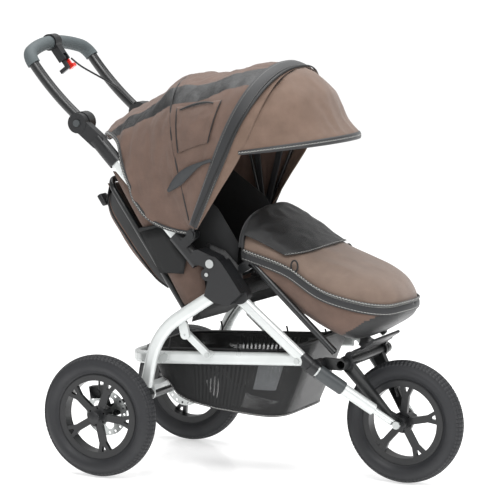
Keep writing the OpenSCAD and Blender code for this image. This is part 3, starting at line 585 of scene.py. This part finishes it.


# the facing strip wears the lighter copy of the canvas, which is painted light
strip = thicken(piece("hoop_facing_strip", sewn(lambda s, t: facing(s, 1 - t), 100, 6, (1500, 30),
                                                folds=ripples(40, 1.2)), [canvas_lit], "canopy_front"), 1.6)
back_places = along_hoop(120)
back_path = [canopy_point(curve(BACK_EDGE, abs(q))[0], q, 1.5) for q in back_places]
back_facing = [canopy_normal(min(150, curve(BACK_EDGE, abs(q))[0]), q) for q in back_places]
tape("canopy_rear_edging", back_path, back_facing, 9.0, edging, "upper_frame", 2.6, 0, 1.5)
seam_places = along_hoop(60, -0.95, 0.95)
tape("middle_hoop_seam", [canopy_point(104, q, 1.6) for q in seam_places],
     [canopy_normal(104, q) for q in seam_places], 3.0, ripstop, "canopy_middle", 1.6)
print("band", round(lengths([canopy_point(67.4, q) for q in places])[-1]), "mm long around the hoop")

# %% [markdown]
# ## Side pocket and strap
# A flat pocket is sewn on each side of the canopy, with a curved opening along its top, and a leaf-shaped
# charcoal strap lies under it. Both follow the canopy's surface a little way out, so they are grids on
# the same surface tables.

# %% Pocket, flap and strap on each side
def side_patch(corners, out, puff):
    """A patch on the canopy between four (angle, place) corners, puffed in its middle."""
    def shape(s, t):
        low = [corners[0][k] * (1 - s) + corners[1][k] * s for k in (0, 1)]
        high = [corners[3][k] * (1 - s) + corners[2][k] * s for k in (0, 1)]
        angle, place = [low[k] * (1 - t) + high[k] * t for k in (0, 1)]
        return canopy_point(angle, place, out + puff * 16 * s * (1 - s) * t * (1 - t))
    return shape


for side, name in ((-1, "right"), (1, "left")):
    def patch(title, corners, out, puff, size, material, body, thickness=1.6):
        shape = side_patch([(a, side * q) for a, q in corners], out, puff)
        flip = (lambda s, t: shape(1 - s, t)) if side > 0 else shape
        cloth = sewn(flip, 28, 24, size, folds=ripples(24, 3.0 if puff else 1.0))
        made = thicken(piece(f"{title}_{name}", cloth, [material], body), thickness, 1.0)
        return made

    patch("canopy_pocket", [(100, 0.57), (78, 0.57), (78, 0.37), (100, 0.36)], 3.5, 5, (125, 110),
          canvas, "canopy_front")
    arc = [(98 - 17 * i / 24, side * (0.385 - 0.022 * sin(pi * i / 24))) for i in range(25)]
    tape(f"pocket_opening_{name}", [canopy_point(a, q, 9) for a, q in arc],
         [canopy_normal(a, q) for a, q in arc], [3 + 4 * sin(pi * i / 24) for i in range(25)],
         ripstop, "canopy_front", 1.6, 0, 1.0)
    for a in (100, 78):
        edge = [(a, side * (0.37 + 0.2 * i / 16)) for i in range(17)]
        tape(f"pocket_seam_{a}_{name}", [canopy_point(b, q, 6) for b, q in edge],
             [canopy_normal(b, q) for b, q in edge], 2.4, webbing, "canopy_front", 1.2)
    leaf = [(122 - 50 * i / 30, side * (0.715 - 0.075 * (i / 30) ** 1.2)) for i in range(31)]
    tape(f"leaf_strap_{name}", [canopy_point(a, q, 8) for a, q in leaf],
         [canopy_normal(a, q) for a, q in leaf],
         [7 + 20 * sin(pi * min(1.0, i / 26)) ** 1.2 for i in range(31)], charcoal_cloth,
         "canopy_front", 2.2, 0, 3.0)
    # inside the canopy, stitched straps run from the pivot to the hoops
    for angle, body in ((76, "canopy_front"), (97, "canopy_middle")):
        run = [side * (0.97 - 0.42 * i / 30) for i in range(31)]
        inward = [tuple(-c for c in canopy_normal(angle, q)) for q in run]
        tape(f"inner_strap_{angle}_{name}", [canopy_point(angle, q, -9) for q in run], inward, 17,
             band_tape, body, 1.8)
print("pockets and straps on both sides")

# %% [markdown]
# ## Peak
# The peak in front of the canopy is a sun visor on a sprung wire. It fans out from a point on each side,
# so its cloth is a set of arcs that share two ends. It droops between the wires, and its front edge is
# bound with zigzag tape.

# %% The peak
PEAK = (66.0, 839.0)
# angle above the horizon: how far the cloth stands from the line between the peak's two ends
PEAK_REACH = [(7, 222), (11, 222), (16, 210), (24, 200), (34, 203), (46, 213), (57, 218), (68, 219)]


def peak_point(angle, swing, out=0.0):
    """Point of the peak; swing is -1 at its right end, 0 at the front and 1 at its left end."""
    turn = swing * pi / 2
    reach = (curve(PEAK_REACH, angle)[0] + out) * cos(turn) ** 0.9
    a = radians(angle)
    return (PEAK[0] + reach * cos(a), (214 + out) * sin(turn), PEAK[1] + reach * sin(a) - 6 * cos(turn))


# the peak wears the lighter copy of the canvas, which is painted light
peak = piece("peak_sheet", sewn(lambda s, t: peak_point(9 + 60 * t, -0.995 + 1.99 * s), 72, 30, (640, 240),
                                folds=ripples(55, 3.0, (0.8, 1.5, 0.8), 5.0)), [canvas_lit])
thicken(peak, 1.6)
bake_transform(peak)
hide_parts("canopy_visor")
swings = [-0.985 + 1.97 * i / 90 for i in range(91)]
front_edge = [peak_point(9.5, w, 1.0) for w in swings]
outward = [tuple(Vector(peak_point(9.5, w, 6)) - Vector(peak_point(9.5, w))) for w in swings]
tape("peak_edging", front_edge, outward, [6 + 11 * cos(w * pi / 2) ** 0.5 for w in swings], edging,
     "canopy_visor", 3.2, 0, 2.5)
print("peak", round(sheet_area(peak), 3), "m2, front edge", round(lengths(front_edge)[-1]), "mm")

# %% [markdown]
# ## Leg cover
# The leg cover is a padded bag. Its cross-section is a soft arch above a zip and a shallower, squarer
# tray below it, and its half width shrinks round the nose. Three tables hold the top line, the zip and
# the bottom line. The sections are lofted along them, closed at the nose, and given a padded wall.

# %% The surface of the leg cover
TOP = [(58, 668), (75, 674), (130, 648), (205, 606), (305, 566), (385, 535), (430, 502), (448, 478),
       (454, 456)]
ZIP = [(58, 580), (80, 574), (185, 542), (266, 495), (342, 470), (420, 452), (454, 456)]
BOTTOM = [(58, 560), (91, 530), (130, 474), (226, 410), (300, 378), (350, 372), (405, 401),
          (442, 430), (454, 456)]


def cover_half(x):
    return 166 if x < 287 else sqrt(max(0.0, 166 ** 2 - (x - 287) ** 2))


def cover_point(x, turn, out=0.0):
    """Point of the leg cover; turn is 0 at the right zip, 0.5 at the left zip, past that below."""
    half = cover_half(x) + out
    top, middle, bottom = curve(TOP, x)[0], curve(ZIP, x)[0], curve(BOTTOM, x)[0]
    a = 2 * pi * turn
    above = turn <= 0.5
    power = 0.78 if above else 0.6
    rise = (top - middle if above else middle - bottom) + out
    y = -half * (1 if cos(a) >= 0 else -1) * abs(cos(a)) ** power
    return (x, y, middle + rise * (1 if above else -1) * abs(sin(a)) ** power)


def cover_x(t):
    return 60 + 394 * sin(t * pi / 2)


def cover_cloth(s, t):
    x = cover_x(s)
    if t <= 0.5:
        return 0
    depth = abs(sin(2 * pi * t)) ** 0.6
    return 2 if depth > 1.02 - (x - 292) / 150 else 1


quilt = ripples(70, 4.0, (0.7, 1.0, 0.5), 2.2)
bag = sewn(lambda s, t: cover_point(cover_x(s), t), 60, 112, (480, 620), cover_cloth,
           lambda p: quilt(p) * min(1.0, (454 - p[0]) / 60 + 0.1))
bmesh.ops.remove_doubles(bag, verts=bag.verts, dist=1e-5)
bmesh.ops.recalc_face_normals(bag, faces=bag.faces)
cover = piece("leg_cover_bag", bag, [canvas_pale, canvas, ripstop], "chassis")
thicken(cover, 7, -1.0, 1)
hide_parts("leg_cover")
print("leg cover:", len(cover.data.polygons), "faces")

# %% Zip, flap and rim of the leg cover
def around_nose(steps, first=64.0):
    """Stations along the zip line, from the right rear round the nose to the left rear."""
    xs = [first + (454 - first) * sin(i / steps * pi / 2) for i in range(steps + 1)]
    right = [(x, -cover_half(x), curve(ZIP, x)[0]) for x in xs]
    return right + [(x, -y, z) for x, y, z in reversed(right[:-1])]


zip_line = around_nose(56)
zip_facing = [(max(0.0, x - 287) + 1e-3, y, 12) for x, y, z in zip_line]
tape("leg_cover_zip", zip_line, zip_facing, 24, zip_tape, "chassis", 3.0, 2.0, 2.5)
tape("leg_cover_welt", [(x, y, z + 13) for x, y, z in zip_line], zip_facing, 5, edging, "chassis",
     3.0, 4.0, 1.5)


def flap_point(s, t):
    """The turned-down flap: from the rim forwards over the top, shorter at its sides."""
    turn = 0.06 + 0.38 * s
    across = abs(2 * s - 1)
    reach = (172 - 62 * across ** 2.2) * t
    roll = 13 * (1 - t) ** 2 + 3.5 + 3 * sin(pi * t)
    return cover_point(64 + reach, turn, roll)


flap = piece("leg_cover_flap", sewn(lambda s, t: flap_point(s, 1 - t), 56, 26, (470, 170),
                                    folds=ripples(34, 3.2, (1, 0.7, 1), 9.0)), [ripstop], "chassis")
thicken(flap, 2.4, 0, 1)
rim = [cover_point(61, i / 60) for i in range(60)]
cording("leg_cover_rim", rim, 4.5, ripstop, "chassis", closed=True)
flap_edge = [flap_point(i / 40, 1.0) for i in range(41)]
tape("flap_edging", flap_edge, [(0.3, p[1] / 300, 1) for p in flap_edge], 4, edging, "chassis", 2.0, 2.5)
for side in (-1, 1):
    base = Vector((205, side * cover_half(205), curve(ZIP, 205)[0] + 18))
    ring = [base + Vector((9 * cos(a), side * 3, 10 + 14 * sin(a))) for a in [i * pi / 6 for i in range(12)]]
    cording("pull_loop_" + ("left" if side > 0 else "right"), ring, 2.2, webbing, "chassis", closed=True)
opening = [cover_point(62, 0.02 + 0.46 * i / 50, 15) for i in range(51)]
tape("leg_cover_rim_edging", opening, [(-0.5, p[1] / 200, 1) for p in opening], 12, zip_tape, "chassis", 3.0)
print("zip line", round(lengths(zip_line)[-1]), "mm long")

# %% [markdown]
# ## Basket
# The basket is a tub of coated mesh that hangs from the lower bar. It is a ring that starts as the bar's
# rounded rectangle and tapers to a smaller one, whose bottom edge rises to the back and the front. Rows
# of the same grid then close the floor. Bands of solid cloth edge the mesh, so each face of the grid
# picks its cloth from where it lies.

# %% Basket tub
FLOOR = [(-202, 250), (-180, 243), (-162, 236), (-133, 205), (-68, 183), (20, 174), (118, 168), (158, 170)]


def tub_point(turn, level):
    """turn goes round the tub from its right front; level is 0 at the rim, 1 at the floor's edge."""
    a = 2 * pi * turn
    drop = min(level, 1.0)
    cx, cy = cos(a), sin(a)
    power = 0.32
    ux = (1 if cx >= 0 else -1) * abs(cx) ** power
    uy = (1 if cy >= 0 else -1) * abs(cy) ** power
    centre, reach, half = (-2 - 20 * drop, 238 - 58 * drop, 148 - 10 * drop ** 2)
    x, y = centre + reach * ux, half * uy
    rim_z = 331 + 0.055 * x + max(0.0, x - 150) * 0.25
    floor_z = curve(FLOOR, max(-202, min(158, x)))[0]
    if level <= 1:
        sag = 5 * sin(pi * level)
        return (x, y - sag * uy * 0.6, rim_z + (floor_z - rim_z) * level)
    shrink = 1 - (level - 1)
    return (centre + (x - centre) * shrink, y * shrink, floor_z - 3 * (level - 1))


def tub_cloth(s, t):
    level = 1.5 * (1 - t)
    if level > 1 or level < 0.07 or 0.955 < level:
        return 1
    corner = abs(sin(2 * pi * s))
    if cos(2 * pi * s) > 0:
        return 1 if corner < 0.42 else 0 if corner < 0.9 else 2 if corner < 0.995 and level < 0.6 else 0
    return 0


tub = sewn(lambda s, t: tub_point(s, 1.5 * (1 - t)), 144, 42, (1300, 330), tub_cloth,
           ripples(60, 2.0, seed=4.0))
bmesh.ops.remove_doubles(tub, verts=tub.verts, dist=1e-5)
basket = thicken(piece("basket_tub", tub, [basket_mesh, ripstop, pale_mesh], "chassis"), 1.2)
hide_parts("basket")
ring = [tub_point(i / 120, 1.0) for i in range(121)]
out = [(p[0] - -22, p[1] * 1.6, -30) for p in ring]
tape("basket_floor_edging", ring, out, 5, edging, "chassis", 2.2, 1.2)
rim = [tub_point(i / 120, 0.0) for i in range(120)]
cording("basket_rim", rim, 4.0, ripstop, "chassis", closed=True)
for x in (-150, 40, 150):
    for side in (-1, 1):
        loop = [(x, side * (146 + 3 * k), 350 - 3 * k * k) for k in (0, 1.5, 3)]
        cording(f"basket_hook_{x + 200}_{'left' if side > 0 else 'right'}", loop, 2.5, webbing, "chassis")

# %% [markdown]
# ## Seat
# The seat and the backrest are foam pads in black cloth. A foam pad swells between its seams, which a
# cloth simulation does well: a rounded block gets a fine even skin, pressure blows it up for twenty
# frames, and no point may move further than a cap. The pads lie in a brown canvas shell whose sides
# close the gap between the seat and the frame.

# %% Blow up a pad
def rounded_block(low, high, corner, place=None):
    """A block from low to high in mm with bevelled edges, set down by place if it is given."""
    bm = bmesh.new()
    bmesh.ops.create_cube(bm, size=1.0)
    for vert in bm.verts:
        vert.co = Vector([(low[k] + (high[k] - low[k]) * (vert.co[k] + 0.5)) for k in range(3)])
    bmesh.ops.bevel(bm, geom=bm.edges[:], offset=corner, segments=3, affect="EDGES", profile=0.5,
                    material=-1)
    for vert in bm.verts:
        vert.co = (Vector(place(*vert.co)) if place else vert.co) / 1000
    bmesh.ops.recalc_face_normals(bm, faces=bm.faces)
    return bm


def inflated(obj, voxel_mm, pressure, cap_mm):
    """Swell a closed pad with air pressure, capped, and leave it a plain mesh."""
    skin = obj.modifiers.new("skin", "REMESH")
    skin.mode, skin.voxel_size = "VOXEL", voxel_mm / 1000
    applied(obj)
    before = [vert.co.copy() for vert in obj.data.vertices]
    cloth = obj.modifiers.new("swell", "CLOTH")
    cloth.settings.use_pressure = True
    cloth.settings.uniform_pressure_force = pressure
    cloth.settings.effector_weights.gravity = 0
    for step in range(1, 21):
        bpy.context.scene.frame_set(step)
    applied(obj)
    bpy.context.scene.frame_set(1)
    moved = 0.0
    for vert, old in zip(obj.data.vertices, before):
        shift = vert.co - old
        if shift.length > cap_mm / 1000:
            shift.length = cap_mm / 1000
        vert.co = old + shift
        moved = max(moved, shift.length * 1000)
    return moved


def back(s, y, d):
    """Up the backrest, across it and to its rear, in mm, as a point of the frame."""
    return (-98 - 0.5664 * s - 0.8241 * d, y, 428 + 0.8241 * s - 0.5664 * d)


back_pad = piece("back_pad", rounded_block((26, -132, -22), (372, 132, -4), 8, back), [padding])
seat_pad = piece("seat_pad", rounded_block((-52, -138, 462), (44, 138, 486), 8,
                                           lambda x, y, z: (x, y, z + 0.26 * x)), [padding])
for pad, voxel, cap in ((back_pad, 6, 9), (seat_pad, 5, 7)):
    print(pad.name, "swells by up to", round(inflated(pad, voxel, 4.0, cap), 1), "mm")

# %% Sew the channels and finish the pads
def channel(obj, where, depth_mm, width_mm):
    """Press sewn lines into a pad: where(p) gives the distance in mm from the nearest line."""
    obj.data.update()
    for vert in obj.data.vertices:
        away = where(vert.co * 1000)
        if away < width_mm:
            vert.co -= vert.normal * depth_mm / 1000 * cos(away / width_mm * pi / 2) ** 2


channel(back_pad, lambda p: abs((((p[2] - 428) + 40) % 86) - 43), 4.0, 9)
channel(seat_pad, lambda p: abs(abs(p[1]) - 88), 3.0, 9)
for pad, body in ((back_pad, "backrest"), (seat_pad, "chassis")):
    bm = bmesh.new()
    bm.from_mesh(pad.data)
    uv = bm.loops.layers.uv.verify()
    for face in bm.faces:
        for corner in face.loops:
            corner[uv].uv = (corner.vert.co.y, corner.vert.co.z + corner.vert.co.x)
    bm.to_mesh(pad.data)
    bm.free()
    pad.data.shade_smooth()
    thicken(pad, 0, 0, 1)
    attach(pad, body)
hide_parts("backrest_pad")
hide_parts("seat_hammock")
print("pads:", len(back_pad.data.polygons), "and", len(seat_pad.data.polygons), "faces")

# %% [markdown]
# The shell's sides are flat cuts of canvas with turned hems. Each starts as one face with the outline of
# the cut. Insetting it twice and lifting the middle gives the hem, a soft step and a field that stands
# a little proud, as stuffed cloth does.

# %% Canvas sides, wings and mesh pockets
def cut(name, outline, y, material, body, hem=9.0, puff=4.0, thickness=2.0):
    """A flat cut in the XZ plane at y, in mm, with a hem and a puffed field on its outer side."""
    out = 1 if y > 0 else -1
    bm = bmesh.new()
    bm.faces.new([bm.verts.new((x / 1000, y / 1000, z / 1000)) for x, z in outline])
    face = bm.faces[:]
    bmesh.ops.recalc_face_normals(bm, faces=face)
    if face[0].normal.y * out < 0:
        bmesh.ops.reverse_faces(bm, faces=face)
    bmesh.ops.inset_region(bm, faces=face, thickness=hem / 1000, depth=0)
    for step in range(3):
        bmesh.ops.inset_region(bm, faces=face, thickness=9 / 1000, depth=puff / 3000)
    bmesh.ops.triangulate(bm, faces=[f for f in bm.faces if len(f.verts) > 4])
    bmesh.ops.subdivide_edges(bm, edges=bm.edges[:], cuts=3, use_grid_fill=True)
    uv = bm.loops.layers.uv.new("UVMap")
    for f in bm.faces:
        for corner in f.loops:
            corner[uv].uv = (corner.vert.co.x, corner.vert.co.z)
    folds = ripples(38, 2.0, seed=y / 50)
    for vert in bm.verts:
        vert.co.y += out * max(-1.0, folds(vert.co * 1000)) / 1000
    made = thicken(piece(name, bm, [material], body), thickness)
    return made


SEAT_SIDE = [(-84, 398), (16, 430), (62, 462), (56, 540), (10, 585), (-40, 602), (-64, 500)]
BACK_SIDE = [(-305, 772), (-262, 700), (-180, 570), (-102, 440), (-40, 470), (-50, 540), (-128, 640),
             (-235, 765)]
POCKET = [(-222, 622), (-168, 520), (-100, 522), (-92, 560), (-154, 640)]
WING = [(-100, 470), (30, 520), (40, 600), (-20, 690), (-120, 760), (-270, 800), (-285, 740)]
for side, name in ((-1, "right"), (1, "left")):
    cut(f"seat_side_{name}", SEAT_SIDE, side * 155, ripstop, "chassis")
    cut(f"back_side_{name}", BACK_SIDE, side * 160.5, canvas, "chassis")
    cut(f"mesh_pocket_{name}", POCKET, side * 168, basket_mesh, "chassis", 12, 6)
    cut(f"seat_wing_{name}", WING, side * 147, padding, "chassis", 12, -6)
    tape(f"pocket_hem_{name}", [(-226, side * 171, 626), (-190, side * 172, 634), (-154, side * 171, 644)],
         [(0, side, 0)] * 3, 11, webbing, "chassis")
print("canvas sides, wings and pockets")

# %% Harness, shoulder pads and buckles
for side, name in ((-1, "right"), (1, "left")):
    run = [back(s, side * (46 + 0.02 * (s - 120)), -36 - 6 * sin(pi * (s - 110) / 220))
           for s in range(110, 331, 10)]
    tape(f"shoulder_strap_{name}", run, [(0.82, 0, 0.57)] * len(run), 38, padding, "backrest", 9, 0, 3)
    over = [back(s, side * (46 + 0.02 * (s - 120)), -46 - 6 * sin(pi * (s - 110) / 220))
            for s in range(100, 341, 10)]
    tape(f"shoulder_webbing_{name}", over, [(0.82, 0, 0.57)] * len(over), 20, webbing, "backrest", 1.8)
    lap = [back(112 - 2.2 * i, side * (20 + 9 * i), -38 - 8 * sin(pi * i / 12)) for i in range(13)]
    tape(f"lap_strap_{name}", lap, [(0.82, 0, 0.57)] * 13, 24, webbing, "backrest", 1.8)
buckle = rounded_block((92, -26, -56), (138, 26, -42), 5, back)
bmesh.ops.inset_individual(buckle, faces=[f for f in buckle.faces if f.calc_area() > 1e-3],
                           thickness=0.006, depth=-0.002)
made = piece("harness_buckle", buckle, [finishes["black_plastic"]], "backrest")
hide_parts("harness")
crotch = [(14 + 2 * i, 0, 505 + 4.6 * i) for i in range(9)]
tape("crotch_strap", crotch, [(1, 0, -0.2)] * 9, 34, webbing, "chassis", 2.0)
print("harness of five straps")

# %% [markdown]
# ## Rear bag
# A flat-topped bag is sewn to the back of the seat. Its face bulges where things press on it and pulls in
# at the corners and at the bottom, which one grid with a bulging depth gives. A black gusset closes its
# sides, and the same edging runs round its face.

# %% Rear bag
BAG_DEPTH = [(60, 20), (86, 44), (120, 66), (190, 82), (260, 88), (320, 86), (356, 66), (366, 40)]


def bag_point(s, t, out=0.0):
    up, across = 60 + 306 * t, 2 * s - 1
    half = 128 + out
    square = abs(across)
    depth = 16 + (curve(BAG_DEPTH, up)[0] - 16) * max(0.0, 1 - square ** 7) ** 0.5
    pinch = 1 - 0.07 * sin(pi * t) * (square ** 2)
    return back(up, -half * across * pinch, depth + out)


bag_face = piece("rear_bag", sewn(lambda s, t: bag_point(s, t), 64, 44, (320, 340),
                                  lambda s, t: 1 if abs(2 * s - 1) > 0.93 else 0,
                                  ripples(60, 3.5, seed=6.0)), [canvas, ripstop], "backrest")
thicken(bag_face, 3.0, 0, 1)
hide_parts("rear_pocket")
loop = [bag_point(0.04, i / 30, 2) for i in range(31)]
loop += [bag_point(0.04 + 0.92 * i / 30, 1, 2) for i in range(31)]
loop += [bag_point(0.96, 1 - i / 30, 2) for i in range(31)]
cording("rear_bag_piping", loop[::3], 3.0, webbing, "backrest")
for side, name in ((-1, "right"), (1, "left")):
    strap = [back(352 + 6 * i, side * (112 + 0.6 * i), 60 - 7 * i) for i in range(7)]
    tape(f"bag_strap_{name}", strap, [(-0.82, 0, 0.57)] * 7, 24, webbing, "backrest", 2.0)
    block = rounded_block((348, side * 112 - 17, 58), (380, side * 112 + 17, 72), 4, back)
    piece(f"bag_buckle_{name}", block, [finishes["black_plastic"]], "backrest")
def shell_point(s, t):
    return back(20 + 366 * t, 146 * (1 - 2 * s), 21 - 5 * (2 * s - 1) ** 4)


shell_cloth = sewn(shell_point, 40, 40, (292, 366), folds=ripples(48, 2.0))
back_shell = piece("back_shell", shell_cloth, [canvas], "backrest")
thicken(back_shell, 1.8)
print("rear bag", round(sheet_area(bag_face), 3), "m2")

# %% [markdown]
# ## Camera, light and floor
# The stroller is seen from its front right, a little above the axles, with a long lens that keeps the
# wheels round. Broad soft lights and a pale world give the even light of a studio, and a pale glossy
# floor carries faint reflections of the wheels.

# %% Camera
scene = bpy.context.scene
azimuth, elevation, distance = radians(25.506), radians(7.895), 7.6966
target = Vector((-0.0279, 0.0, 0.5651))
toward = Vector((sin(azimuth) * cos(elevation), -cos(azimuth) * cos(elevation), sin(elevation)))
camera = bpy.data.objects.new("camera", bpy.data.cameras.new("camera"))
scene.collection.objects.link(camera)
camera.location = target + toward * distance
camera.rotation_euler = (-toward).to_track_quat("-Z", "Y").to_euler()
camera.data.sensor_fit = "HORIZONTAL"
camera.data.sensor_width, camera.data.lens = 36, 226.1
camera.data.clip_end = 60
scene.camera = camera
print("camera", [round(c, 2) for c in camera.location])

# %% Floor and lights
bm = bmesh.new()
bmesh.ops.create_grid(bm, x_segments=1, y_segments=1, size=14)
floor_paint, tree, shader = start("polished pale floor", "#f6f6f6", 0.16)
shader.inputs["Specular IOR Level"].default_value = 0.35
shader.inputs["Emission Color"].default_value = linear("#ffffff")
shader.inputs["Emission Strength"].default_value = 0.5
floor = piece("floor", bm, [floor_paint])
world = bpy.data.worlds.new("studio")
world.use_nodes = True
sky = world.node_tree
sky.nodes["Background"].inputs["Color"].default_value = linear("#ffffff")
seen = add(sky, "LightPath").outputs["Is Camera Ray"]
strength = add(sky, "MapRange", {"Value": seen, "To Min": 0.56, "To Max": 1.15})
sky.links.new(strength.outputs["Result"], sky.nodes["Background"].inputs["Strength"])
scene.view_settings.view_transform = "Standard"
scene.world = world
for name, place, size, power in (("key", (1.2, -2.6, 3.6), 1.8, 100), ("fill", (3.2, -0.4, 2.0), 1.4, 24),
                                 ("top", (-0.4, 0.6, 4.0), 3.4, 150)):
    light = bpy.data.lights.new(name, "AREA")
    light.size, light.energy = size, power
    lamp = bpy.data.objects.new(name, light)
    scene.collection.objects.link(lamp)
    lamp.location = place
    lamp.rotation_euler = (Vector((0, 0, 0.5)) - lamp.location).to_track_quat("-Z", "Y").to_euler()
print("floor, world and three soft lights")
